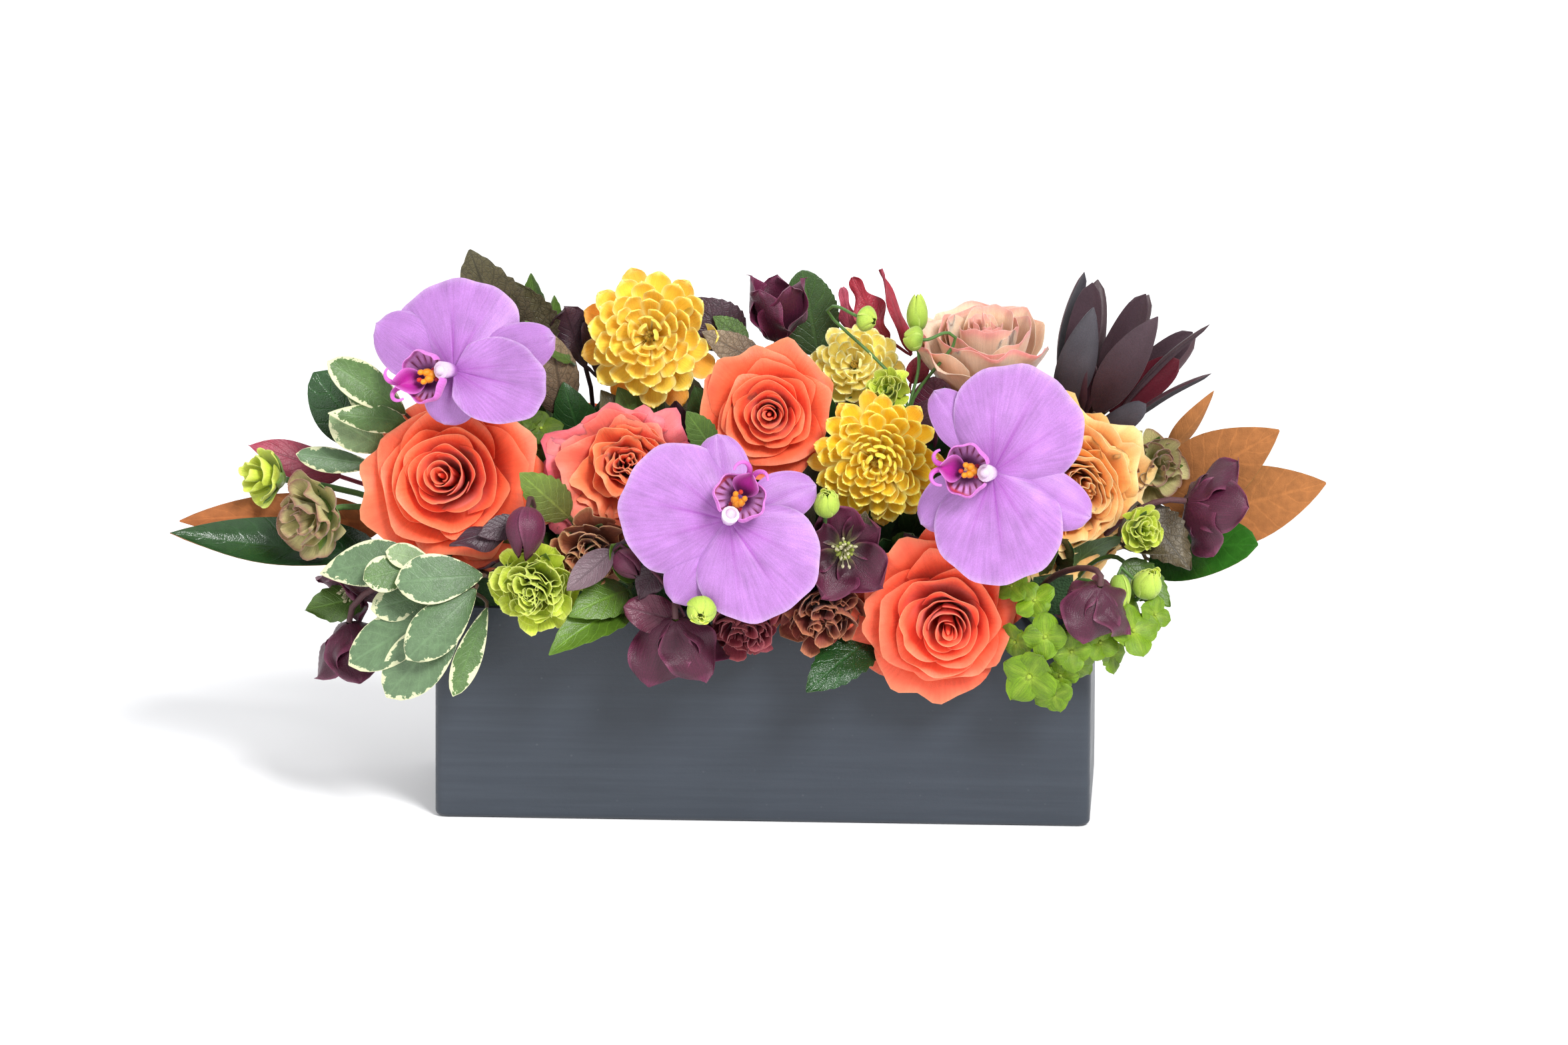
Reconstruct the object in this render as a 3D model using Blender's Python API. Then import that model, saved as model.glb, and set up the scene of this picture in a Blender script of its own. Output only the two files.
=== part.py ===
# A low oblong flower arrangement in a glazed ceramic box.
# Frame: the origin is the centre of the box's underside, +X runs to the right along the box,
# +Y runs away from the front face and +Z is up. Sizes below are in millimetres.
import math
from collections import namedtuple

import bmesh
import bpy
from mathutils import Vector

MM = 0.001

# The box, a standard twelve by four by four inch vase
BOX_LENGTH = 305.0
BOX_DEPTH = 102.0
BOX_HEIGHT = 102.0
BOX_WALL = 6.0
BOX_FLOOR = 7.0
EDGE_RADIUS = 3.0
RIM_RADIUS = 2.2
OUTER_CORNER_RADIUS = 3.5
INNER_FLOOR_RADIUS = 4.0
INNER_CORNER_RADIUS = 6.0
# How much tighter the upright corners get for each millimetre that the foot or the rim draws in
FOOT_TUCK = 0.8
RIM_TUCK = 0.5

# The gap that touching pieces keep
GAP = 0.3

# A brick of floral foam stands on its long edge, and a piece cut from a second fills the end
BRICK_LENGTH = 230.0
BRICK_HEIGHT = 110.0
BRICK_WIDTH = 80.0
FOAM_LEFT = -143.5
FOAM_SPLIT = FOAM_LEFT + BRICK_LENGTH
FOAM_RIGHT = 143.5
FOAM_BOTTOM = BOX_FLOOR + GAP
FOAM_TOP = FOAM_BOTTOM + BRICK_HEIGHT
FOAM_FRONT = -0.5 * BRICK_WIDTH
FOAM_BACK = 0.5 * BRICK_WIDTH
# Stems in the foam's sides go in here, above the box's rim
SIDE_HOLE_HEIGHT = 110.5

# How stems sit in the foam
STEM_DEPTH = 28.0
STRAIGHT_ABOVE_FOAM = 3.0
CORE_HEIGHT = FOAM_TOP - 52.0
CORE_SPREAD = 0.86
HOLE_SIDES = 8
HOLE_CUTTER_ABOVE = 8.0
# How far a stem keeps its way at each end, as a part of its length, and how many bends it gets
STEM_STIFFNESS = 0.35
STEM_TURNS = 3

BOX_GLAZE = ("slate_glaze", (0.055, 0.072, 0.09), 0.45)
FOAM_GREEN = ("floral_foam", (0.10, 0.20, 0.10), 0.95)
ORANGE_PETAL = ("orange_petal", (0.90, 0.13, 0.035), 0.55)
PINK_PETAL = ("pink_petal", (0.85, 0.20, 0.16), 0.55)
PEACH_PETAL = ("peach_petal", (0.90, 0.42, 0.20), 0.55)
LILAC_PETAL = ("lilac_petal", (0.62, 0.26, 0.72), 0.5)
YELLOW_PETAL = ("yellow_petal", (0.92, 0.58, 0.05), 0.55)
WINE_PETAL = ("wine_petal", (0.10, 0.015, 0.035), 0.5)
LIME_PETAL = ("lime_petal", (0.42, 0.62, 0.06), 0.55)
FADED_PETAL = ("faded_petal", (0.33, 0.30, 0.16), 0.6)
RUST_PETAL = ("rust_petal", (0.28, 0.07, 0.04), 0.6)
GREEN_SEPAL = ("green_sepal", (0.20, 0.48, 0.04), 0.55)
GREEN_LEAF = ("green_leaf", (0.06, 0.20, 0.03), 0.4)
BROWN_LEAF = ("brown_leaf", (0.16, 0.12, 0.07), 0.5)
RED_LEAF = ("red_leaf", (0.35, 0.02, 0.04), 0.45)
GREY_LEAF = ("grey_leaf", (0.20, 0.32, 0.20), 0.5)
MAGNOLIA_LEAF = ("magnolia_leaf", (0.36, 0.15, 0.05), 0.5)
PLUM_BRACT = ("plum_bract", (0.07, 0.035, 0.05), 0.45)

# A head's outline is turned about its stem: how far along it and how wide, in its own radius
HeadShape = namedtuple("HeadShape", "profile sides lobes lobe_depth stem")
HEADS = {
    "rose": HeadShape(
        ((0.10, 0.15), (0.28, 0.36), (0.55, 0.72), (0.82, 0.96),
         (1.05, 1.0), (1.22, 0.84), (1.30, 0.5), (1.33, 0.16)),
        10, 0, 0.0, 2.4,
    ),
    "orchid": HeadShape(
        ((0.12, 0.10), (0.19, 0.45), (0.27, 0.97), (0.34, 0.97),
         (0.31, 0.5), (0.34, 0.24), (0.50, 0.2), (0.56, 0.08)),
        15, 5, 0.1, 1.6,
    ),
    "dahlia": HeadShape(
        ((0.08, 0.26), (0.20, 0.70), (0.40, 0.97), (0.62, 1.0), (0.80, 0.80), (0.90, 0.45), (0.93, 0.16)),
        10, 0, 0.0, 2.0,
    ),
    "hellebore": HeadShape(
        ((0.12, 0.20), (0.34, 0.66), (0.52, 1.0), (0.64, 1.0), (0.66, 0.55), (0.68, 0.14)),
        10, 5, 0.12, 1.4,
    ),
    "ruffle": HeadShape(
        ((0.14, 0.28), (0.50, 0.80), (0.90, 1.0), (1.25, 0.88), (1.48, 0.50), (1.54, 0.16)),
        8, 0, 0.0, 1.5,
    ),
    "bud": HeadShape(
        ((0.25, 0.55), (0.80, 1.0), (1.50, 0.92), (2.10, 0.55), (2.35, 0.18)),
        8, 0, 0.0, 1.1,
    ),
}
# The head's widest place lies this far along it, and is the point that each bloom is placed by
WIDEST = {"rose": 1.05, "orchid": 0.34, "dahlia": 0.62, "hellebore": 0.64, "ruffle": 0.90, "bud": 1.15}
# A head is lobed where it is wider than this part of its radius
LOBED_FROM = 0.3

# turn is to the right of straight ahead and tilt is upward, in degrees
Bloom = namedtuple("Bloom", "name kind finish centre radius turn tilt hole")
BLOOMS = (
    Bloom("rose_left", "rose", ORANGE_PETAL, (-145, -50, 162), 36, -15, 20, (-116, -18)),
    Bloom("rose_pink", "rose", PINK_PETAL, (-70, -46, 168), 31, 8, 30, (-68, -22)),
    Bloom("rose_centre", "rose", ORANGE_PETAL, (2, -38, 194), 29, 0, 12, (6, -10)),
    Bloom("rose_front", "rose", ORANGE_PETAL, (82, -88, 108), 37, 2, -8, (80, FOAM_FRONT)),
    Bloom("rose_peach", "rose", PEACH_PETAL, (136, -37, 156), 38, 30, 12, (116, -14)),
    Bloom("rose_back", "rose", PEACH_PETAL, (100, 21, 212), 27, 10, 74, (92, 12)),
    Bloom("rose_rear_left", "rose", ORANGE_PETAL, (-84, 58, 150), 34, 188, 28, (-82, 26)),
    Bloom("rose_rear_right", "rose", PINK_PETAL, (64, 62, 144), 33, 172, 24, (62, 26)),
    Bloom("orchid_left", "orchid", LILAC_PETAL, (-142, -50, 217), 42, -20, 20, (-128, 4)),
    Bloom("orchid_centre", "orchid", LILAC_PETAL, (-17, -101, 155), 43, 0, 15, (-22, -30)),
    Bloom("orchid_right", "orchid", LILAC_PETAL, (109, -96, 180), 42, 0, 12, (74, -30)),
    Bloom("dahlia_left", "dahlia", YELLOW_PETAL, (-57, -5, 217), 32, 0, 22, (-50, 2)),
    Bloom("dahlia_right", "dahlia", YELLOW_PETAL, (52, -50, 171), 28, -2, 8, (46, -14)),
    Bloom("dahlia_back", "dahlia", YELLOW_PETAL, (41, 5, 204), 20, 0, 30, (36, 10)),
    Bloom("hellebore_left", "hellebore", WINE_PETAL, (-198, -30, 103), 15, -50, -20, (FOAM_LEFT, -30)),
    Bloom("hellebore_drooping", "hellebore", WINE_PETAL, (-190, -38, 70), 17, -30, -60, (-136, FOAM_FRONT)),
    Bloom("hellebore_bottom", "hellebore", WINE_PETAL, (-44, -88, 99), 22, -5, 0, (-40, FOAM_FRONT)),
    Bloom("hellebore_centre", "hellebore", WINE_PETAL, (38, -80, 134), 20, 10, 5, (44, FOAM_FRONT)),
    Bloom("hellebore_back", "hellebore", WINE_PETAL, (1, 22, 224), 19, 0, 45, (0, 12)),
    Bloom("hellebore_right", "hellebore", WINE_PETAL, (206, -22, 144), 18, 50, 0, (FOAM_RIGHT, -16)),
    Bloom("hellebore_low_right", "hellebore", WINE_PETAL, (156, -70, 113), 15, 35, 0, (128, FOAM_FRONT)),
    Bloom("hellebore_bud_left", "bud", WINE_PETAL, (-107, -80, 142), 8, -10, 0, (-98, FOAM_FRONT)),
    Bloom("hellebore_bud_centre", "bud", WINE_PETAL, (-62, -84, 132), 7, -10, -15, (-62, FOAM_FRONT)),
    Bloom("lime_bloom_front", "ruffle", LIME_PETAL, (-105, -82, 118), 16, -8, 0, (-112, FOAM_FRONT)),
    Bloom("lime_bloom_left", "ruffle", LIME_PETAL, (-237, -12, 152), 12, -80, 15, (FOAM_LEFT, -6)),
    Bloom("lime_bloom_right", "ruffle", LIME_PETAL, (180, -46, 138), 9, 25, 10, (FOAM_RIGHT, -24)),
    Bloom("lime_bud_centre", "bud", LIME_PETAL, (33, -84, 160), 6, 10, 10, (26, -34)),
    Bloom("lime_bud_bottom", "bud", LIME_PETAL, (-26, -115, 112), 5, -5, -20, (-26, FOAM_FRONT)),
    Bloom("lime_bud_right", "bud", LIME_PETAL, (178, -56, 117), 7, 35, 0, (FOAM_RIGHT, -32)),
    Bloom("lisianthus_left", "ruffle", FADED_PETAL, (-212, -35, 138), 17, -35, 0, (-138, -22)),
    Bloom("lisianthus_right", "ruffle", FADED_PETAL, (180, -4, 159), 14, 20, 15, (136, 6)),
    Bloom("ruffle_brown", "ruffle", RUST_PETAL, (-79, -70, 130), 14, -5, -5, (-80, FOAM_FRONT)),
    Bloom("ruffle_burgundy", "ruffle", RUST_PETAL, (-7, -74, 99), 13, 0, -20, (-8, FOAM_FRONT)),
    Bloom("ruffle_rust", "ruffle", RUST_PETAL, (27, -72, 104), 16, 0, -15, (20, FOAM_FRONT)),
    Bloom("hydrangea_right", "ruffle", GREEN_SEPAL, (145, -73, 83), 22, 15, -48, (108, FOAM_FRONT)),
    Bloom("hydrangea_left", "ruffle", GREEN_SEPAL, (-110, -24, 176), 10, 0, 30, (-94, -10)),
    Bloom("hydrangea_rear", "ruffle", GREEN_SEPAL, (-8, 62, 138), 28, 180, 20, (-8, 26)),
)

# face is the side that a leaf shows, and bow is how far its middle rises to that side
Leaf = namedtuple("Leaf", "name finish base tip half_width face bow hole")
LEAVES = (
    Leaf("leaf_brown_top", BROWN_LEAF, (-122, 16, 212), (-141, 12, 254), 12, (0, -1, 0.3), 2, (-106, 16)),
    Leaf("leaf_olive", BROWN_LEAF, (-94, -2, 192), (-104, -8, 222), 9, (0.3, -1, 0.2), 2, (-88, 12)),
    Leaf("leaf_top_back", GREEN_LEAF, (22, 36, 205), (16, 38, 243), 11, (0, -1, 0.1), 2, (22, 28)),
    Leaf("leaf_red_top", RED_LEAF, (56, 24, 212), (47, 26, 244), 8, (0, -1, 0.2), 2, (46, 22)),
    Leaf("leaf_red_left", RED_LEAF, (-204, 8, 148), (-242, 6, 160), 8, (0, -1, 0.6), 2, (FOAM_LEFT, 10)),
    Leaf("leaf_round_left", GREEN_LEAF, (-176, 12, 166), (-207, 12, 190), 14, (0, -1, 0.3), 2, (-138, 18)),
    Leaf("leaf_under_front", GREEN_LEAF, (52, -64, 92), (24, -92, 72), 9, (0, -1, 0.2), 2,
         (56, FOAM_FRONT)),
    Leaf("leaf_front_left", GREEN_LEAF, (-78, -74, 107), (-98, -92, 90), 9, (0, -1, 0.4), 2,
         (-94, FOAM_FRONT)),
    Leaf("leaf_brown_right", BROWN_LEAF, (176, -26, 118), (193, -34, 134), 9, (0.3, -1, 0.2), 2,
         (FOAM_RIGHT, -4)),
    Leaf("leaf_rear_left", GREEN_LEAF, (-140, 52, 130), (-180, 78, 146), 15, (0, 0.6, 1), 3,
         (-128, FOAM_BACK)),
    Leaf("leaf_rear_middle", BROWN_LEAF, (-46, 62, 112), (-52, 92, 92), 14, (0, 1, 0.6), 3,
         (-46, FOAM_BACK)),
    Leaf("leaf_rear_right", GREEN_LEAF, (128, 54, 126), (162, 84, 132), 15, (0, 0.6, 1), 3,
         (118, FOAM_BACK)),
)

# A sprig is a twig from the foam to its joint, with leaves or bracts that leave it there
Sprig = namedtuple("Sprig", "name finish hole joint twig_radius blades")
Blade = namedtuple("Blade", "base tip half_width face bow")
SPRIGS = (
    Sprig("leucadendron", PLUM_BRACT, (132, 24), (146, 16, 172), 3.0, (
        Blade((146, 19, 188), (144, 28, 241), 5, (0.2, -1, 0.1), -3),
        Blade((148, 13, 188), (152, 5, 236), 5, (0, -1, 0.1), -3),
        Blade((153, 14, 187), (175, 8, 234), 5, (0, -1, 0.3), -3),
        Blade((158, 12, 184), (196, 2, 218), 5, (0, -1, 0.4), -3),
        Blade((160, 18, 181), (203, 26, 205), 4, (0, -1, 0.8), -3),
        Blade((152, 22, 187), (172, 42, 230), 5, (0.1, 1, 0.2), -3),
    )),
    Sprig("magnolia_right", MAGNOLIA_LEAF, (FOAM_RIGHT, 18), (172, 20, 128), 2.6, (
        Blade((182, 20, 142), (206, 28, 190), 11, (0.3, -1, 0.2), 2),
        Blade((188, 14, 140), (236, 2, 176), 14, (0, -1, 0.5), 4),
        Blade((190, 20, 128), (258, 14, 148), 18, (0, -1, 0.3), 4),
        Blade((186, 16, 116), (227, -20, 126), 14, (0, -1, 0.8), 4),
    )),
    Sprig("magnolia_left", GREEN_LEAF, (FOAM_LEFT, -18), (-168, -18, 122), 2.4, (
        Blade((-180, -20, 124), (-275, -18, 126), 13, (0, -1, 0.5), 5),
        Blade((-178, -14, 126), (-256, 2, 142), 9, (0, -1, 0.6), 4),
    )),
    Sprig("pittosporum_upper", GREY_LEAF, (-132, -14), (-162, -16, 168), 1.8, (
        Blade((-168, -20, 176), (-197, -24, 206), 9, (0.3, -1, 0.4), 3),
        Blade((-170, -22, 170), (-198, -34, 184), 7, (0.2, -1, 0.6), 2),
        Blade((-168, -20, 164), (-192, -30, 164), 7, (0, -1, 0.5), 2),
        Blade((-166, -16, 160), (-216, -12, 164), 6, (0, -1, 0.6), 2),
    )),
    Sprig("pittosporum_lower", GREY_LEAF, (-124, FOAM_FRONT), (-142, -64, 118), 1.8, (
        Blade((-150, -70, 114), (-196, -66, 92), 9, (-0.2, -1, 0.5), 3),
        Blade((-146, -72, 110), (-186, -78, 74), 10, (-0.1, -1, 0.4), 3),
        Blade((-142, -74, 110), (-162, -90, 70), 10, (0, -1, 0.4), 3),
        Blade((-138, -74, 112), (-136, -88, 78), 8, (0.1, -1, 0.2), 3),
        Blade((-148, -68, 120), (-184, -70, 118), 9, (-0.2, -1, 0.6), 3),
    )),
    Sprig("lime_spray_top", LIME_PETAL, (68, 2), (66, -4, 186), 1.3, (
        Blade((65, -8, 190), (52, -22, 202), 6, (0, -1, 0.4), 2),
        Blade((68, -4, 194), (60, -8, 224), 4, (0, -1, 0.3), 0),
        Blade((70, -2, 194), (74, 0, 226), 4, (0, -1, 0.3), 0),
    )),
    Sprig("pittosporum_rear", GREY_LEAF, (96, FOAM_BACK), (104, 62, 124), 1.8, (
        Blade((108, 68, 122), (132, 92, 104), 9, (0.2, 1, 0.6), 3),
        Blade((102, 70, 120), (100, 96, 92), 9, (0, 1, 0.5), 3),
        Blade((98, 68, 124), (74, 92, 104), 8, (-0.2, 1, 0.6), 3),
    )),
)
BLADE_HALF_THICKNESS = 0.8
BLADE_SIDES = 6
# How wide a blade is along its length, as parts of its half width
BLADE_OUTLINE = ((0.0, 0.16), (0.18, 0.55), (0.42, 1.0), (0.66, 0.94), (0.86, 0.55), (1.0, 0.08))
LEAF_STEM = 1.3
# A leaf's stalk ends this far short of its blade, and the two are drawn into one
STALK_END = 3.0
# A twig narrows to this part of its radius at its joint, and each blade's stalk starts a little inside
TWIG_END = 0.6
STALK_SHARE = 0.5
STALK_EXTRA = 0.2
JOINT_SINK = 0.5
STALK_SINK = 0.2

Station = namedtuple("Station", "point along half_width half_depth lobed")


def clear_scene():
    """Removes what the scene holds."""
    for item in list(bpy.data.objects):
        bpy.data.objects.remove(item)


def make_material(finish):
    """The plain finish of a piece, made once for each name."""
    name, colour, roughness = finish
    found = bpy.data.materials.get(name)
    if found:
        return found
    made = bpy.data.materials.new(name)
    made.use_nodes = True
    shader = made.node_tree.nodes["Principled BSDF"]
    shader.inputs["Base Color"].default_value = (*colour, 1.0)
    shader.inputs["Roughness"].default_value = roughness
    shader.inputs["Metallic"].default_value = 0.0
    made.diffuse_color = (*colour, 1.0)
    return made


def make_object(name, points, faces, finish):
    """An object from points in millimetres and its faces, turned to point outwards."""
    mesh = bpy.data.meshes.new(name)
    mesh.from_pydata([Vector(p) * MM for p in points], [], faces)
    work = bmesh.new()
    work.from_mesh(mesh)
    bmesh.ops.recalc_face_normals(work, faces=work.faces)
    work.to_mesh(mesh)
    work.free()
    mesh.shade_smooth()
    mesh.set_sharp_from_angle(angle=math.radians(40))
    mesh.materials.append(make_material(finish))
    made = bpy.data.objects.new(name, mesh)
    bpy.context.scene.collection.objects.link(made)
    return made


def bridge(rings, sides):
    """Faces that close a row of rings, with a flat cap on each end."""
    faces = [tuple(range(sides))]
    for row in range(rings - 1):
        for step in range(sides):
            after = (step + 1) % sides
            low, high = row * sides, (row + 1) * sides
            faces.append((low + step, low + after, high + after, high + step))
    last = (rings - 1) * sides
    faces.append(tuple(range(last, last + sides)))
    return faces


def rounded_rectangle(length, depth, radius, height, segments=5):
    """A level ring with round corners."""
    ring = []
    for quarter, (sx, sy) in enumerate(((1, 1), (-1, 1), (-1, -1), (1, -1))):
        centre_x = sx * (0.5 * length - radius)
        centre_y = sy * (0.5 * depth - radius)
        for step in range(segments + 1):
            angle = math.radians(90.0 * (quarter + step / segments))
            ring.append((centre_x + radius * math.cos(angle), centre_y + radius * math.sin(angle), height))
    return ring


def make_box():
    """The ceramic shell: up the outside, over the rim and down to the inner floor."""
    rings = []
    turns = 4

    def level(inset, height, radius):
        rings.append((BOX_LENGTH - 2 * inset, BOX_DEPTH - 2 * inset, radius, height))

    for step in range(turns + 1):
        angle = math.radians(90.0 * step / turns)
        inset = EDGE_RADIUS * (1.0 - math.sin(angle))
        level(inset, EDGE_RADIUS * (1.0 - math.cos(angle)), OUTER_CORNER_RADIUS - FOOT_TUCK * inset)
    for step in range(turns + 1):
        angle = math.radians(90.0 * step / turns)
        inset = RIM_RADIUS * (1.0 - math.cos(angle))
        height = BOX_HEIGHT - RIM_RADIUS * (1.0 - math.sin(angle))
        level(inset, height, OUTER_CORNER_RADIUS - RIM_TUCK * inset)
    for step in range(turns + 1):
        angle = math.radians(90.0 * step / turns)
        inset = BOX_WALL - RIM_RADIUS * (1.0 - math.sin(angle))
        height = BOX_HEIGHT - RIM_RADIUS * (1.0 - math.cos(angle))
        level(inset, height, INNER_CORNER_RADIUS - RIM_TUCK * (BOX_WALL - inset))
    for step in range(turns + 1):
        angle = math.radians(90.0 * step / turns)
        inset = BOX_WALL + INNER_FLOOR_RADIUS * (1.0 - math.cos(angle))
        height = BOX_FLOOR + INNER_FLOOR_RADIUS * (1.0 - math.sin(angle))
        level(inset, height, INNER_CORNER_RADIUS - RIM_TUCK * (inset - BOX_WALL))
    points = []
    for length, depth, radius, height in rings:
        points += rounded_rectangle(length, depth, radius, height)
    sides = len(points) // len(rings)
    return make_object("box", points, bridge(len(rings), sides), BOX_GLAZE)


def evaluated_mesh(item):
    """The mesh of an object with its modifiers."""
    bpy.context.view_layer.update()
    seen = item.evaluated_get(bpy.context.evaluated_depsgraph_get())
    return bpy.data.meshes.new_from_object(seen)


def combine(item, other, operation):
    """Cuts item with other, or joins other to it, and removes other."""
    modifier = item.modifiers.new(operation.lower(), "BOOLEAN")
    modifier.operation = operation
    modifier.solver = "EXACT"
    modifier.object = other
    mesh = evaluated_mesh(item)
    item.modifiers.remove(modifier)
    item.data = mesh
    bpy.data.objects.remove(other)


def curve_points(start, start_handle, end_handle, end, count):
    """Points along one smooth curve between two places, without the first."""
    points = []
    for step in range(1, count + 1):
        t = step / count
        s = 1.0 - t
        point = start * s ** 3 + start_handle * 3 * s * s * t + end_handle * 3 * s * t * t + end * t ** 3
        points.append(point)
    return points


def foam_entry(hole):
    """Where a stem meets the foam, and the way that it comes out of it."""
    x, y = hole
    on_side = x in (FOAM_LEFT, FOAM_RIGHT) or y in (FOAM_FRONT, FOAM_BACK)
    entry = Vector((x, y, SIDE_HOLE_HEIGHT if on_side else FOAM_TOP))
    core = Vector((x * CORE_SPREAD, 0.0, CORE_HEIGHT))
    return entry, (entry - core).normalized()


def stem_stations(hole, neck, neck_way, radius):
    """A stem from its cut end in the foam to the neck of what it carries."""
    entry, out = foam_entry(hole)
    root = entry - out * STEM_DEPTH
    start = entry + out * STRAIGHT_ABOVE_FOAM
    reach = (neck - start).length
    handle = start + out * STEM_STIFFNESS * reach
    neck_handle = neck - neck_way * STEM_STIFFNESS * reach
    stations = [Station(root, out, radius, radius, 0), Station(start, out, radius, radius, 0)]
    path = curve_points(start, handle, neck_handle, neck, STEM_TURNS)
    before = start
    for index, point in enumerate(path):
        after = path[index + 1] if index + 1 < len(path) else point + neck_way
        stations.append(Station(point, (after - before).normalized(), radius, radius, 0))
        before = point
    return stations


def sweep(name, stations, across, sides, finish, lobes=0, lobe_depth=0.0):
    """One closed solid through all stations, carried back from the last one so that it doesn't twist."""
    frames = []
    side = across.normalized()
    way = stations[-1].along
    for station in reversed(stations):
        turn = way.rotation_difference(station.along)
        side = turn @ side
        side = (side - station.along * side.dot(station.along)).normalized()
        way = station.along
        frames.append((side.copy(), station.along.cross(side)))
    frames.reverse()
    points = []
    for station, (side, deep) in zip(stations, frames):
        for step in range(sides):
            angle = 2.0 * math.pi * step / sides
            reach = 1.0 + station.lobed * lobe_depth * math.cos(lobes * angle)
            place = station.point + side * math.cos(angle) * station.half_width * reach
            points.append(place + deep * math.sin(angle) * station.half_depth * reach)
    return make_object(name, points, bridge(len(stations), sides), finish)


def facing(turn, tilt):
    """The way that a bloom faces, from its turn and tilt in degrees."""
    turn, tilt = math.radians(turn), math.radians(tilt)
    return Vector((math.sin(turn) * math.cos(tilt), -math.cos(turn) * math.cos(tilt), math.sin(tilt)))


def make_bloom(bloom):
    """A stem and its head as one solid."""
    shape = HEADS[bloom.kind]
    way = facing(bloom.turn, bloom.tilt)
    neck = Vector(bloom.centre) - way * WIDEST[bloom.kind] * bloom.radius
    stations = stem_stations(bloom.hole, neck, way, shape.stem)
    for along, wide in shape.profile:
        radius = wide * bloom.radius
        stations.append(Station(neck + way * along * bloom.radius, way, radius, radius, wide > LOBED_FROM))
    turn = math.radians(bloom.turn)
    across = Vector((math.cos(turn), math.sin(turn), 0.0))
    return sweep(bloom.name, stations, across, shape.sides, bloom.finish, shape.lobes, shape.lobe_depth)


def arch(part):
    """An even arch's height at this part of its span, where its middle is 1 high, and its slope there."""
    return 4.0 * part * (1.0 - part), 4.0 * (1.0 - 2.0 * part)


def blade_stations(base, tip, half_width, face, bow):
    """A leaf's blade from its base to its tip, bowed to the side that it shows."""
    way = tip - base
    rise = (face - way * face.dot(way) / way.length_squared).normalized()
    stations = []
    for part, wide in BLADE_OUTLINE:
        height, slope = arch(part)
        point = base + way * part + rise * bow * height
        along = (way + rise * bow * slope).normalized()
        half = max(wide * half_width, BLADE_HALF_THICKNESS)
        stations.append(Station(point, along, half, BLADE_HALF_THICKNESS, 0))
    return stations, way.cross(rise)


def make_leaf(leaf):
    """A leaf with its stalk as one solid."""
    base, tip, face = Vector(leaf.base), Vector(leaf.tip), Vector(leaf.face)
    blade, across = blade_stations(base, tip, leaf.half_width, face, leaf.bow)
    way = blade[0].along
    stations = stem_stations(leaf.hole, base - way * STALK_END, way, LEAF_STEM) + blade
    return sweep(leaf.name, stations, across, BLADE_SIDES, leaf.finish)


def make_sprig(sprig):
    """A twig with its blades joined to it."""
    joint = Vector(sprig.joint)
    entry, out = foam_entry(sprig.hole)
    way = (joint - entry).normalized()
    stations = stem_stations(sprig.hole, joint, way, sprig.twig_radius)
    end_radius = TWIG_END * sprig.twig_radius
    stations.append(Station(joint + way * end_radius, way, end_radius, end_radius, 0))
    twig = sweep(sprig.name, stations, out.orthogonal(), BLADE_SIDES, sprig.finish)
    for index, blade in enumerate(sprig.blades):
        base, tip, face = Vector(blade.base), Vector(blade.tip), Vector(blade.face)
        outline, across = blade_stations(base, tip, blade.half_width, face, blade.bow)
        stalk = STALK_SHARE * sprig.twig_radius + STALK_EXTRA
        foot = (base - joint).normalized()
        start = Station(joint - way * JOINT_SINK - foot * STALK_SINK, foot, stalk, stalk, 0)
        leaf = sweep(f"{sprig.name}_{index}", [start] + outline, across, BLADE_SIDES, sprig.finish)
        combine(twig, leaf, "UNION")
    return twig


def make_foam(name, low_x, high_x):
    """A piece of foam with a hole for each stem that reaches it."""
    corners = ((low_x, FOAM_FRONT), (high_x, FOAM_FRONT), (high_x, FOAM_BACK), (low_x, FOAM_BACK))
    points = [(x, y, z) for z in (FOAM_BOTTOM, FOAM_TOP) for x, y in corners]
    foam = make_object(name, points, bridge(2, 4), FOAM_GREEN)
    for hole, radius in stem_holes():
        entry, out = foam_entry(hole)
        root = entry - out * (STEM_DEPTH + GAP)
        reach = radius + 2.0 * GAP
        if max(entry.x, root.x) + reach < low_x or min(entry.x, root.x) - reach > high_x:
            continue
        wide = (radius + GAP) / math.cos(math.pi / HOLE_SIDES)
        above = entry + out * HOLE_CUTTER_ABOVE
        ends = [Station(root, out, wide, wide, 0), Station(above, out, wide, wide, 0)]
        combine(foam, sweep("stem_hole", ends, out.orthogonal(), HOLE_SIDES, FOAM_GREEN), "DIFFERENCE")
    return foam


def stem_holes():
    """Each stem's place in the foam and its radius."""
    holes = [(bloom.hole, HEADS[bloom.kind].stem) for bloom in BLOOMS]
    holes += [(leaf.hole, LEAF_STEM) for leaf in LEAVES]
    holes += [(sprig.hole, sprig.twig_radius) for sprig in SPRIGS]
    return holes


clear_scene()
make_box()
make_foam("foam_brick", FOAM_LEFT, FOAM_SPLIT)
make_foam("foam_offcut", FOAM_SPLIT + GAP, FOAM_RIGHT)
for one_bloom in BLOOMS:
    make_bloom(one_bloom)
for one_leaf in LEAVES:
    make_leaf(one_leaf)
for one_sprig in SPRIGS:
    make_sprig(one_sprig)
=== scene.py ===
import math
import bpy
import numpy as np
from mathutils import Matrix, Vector


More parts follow.
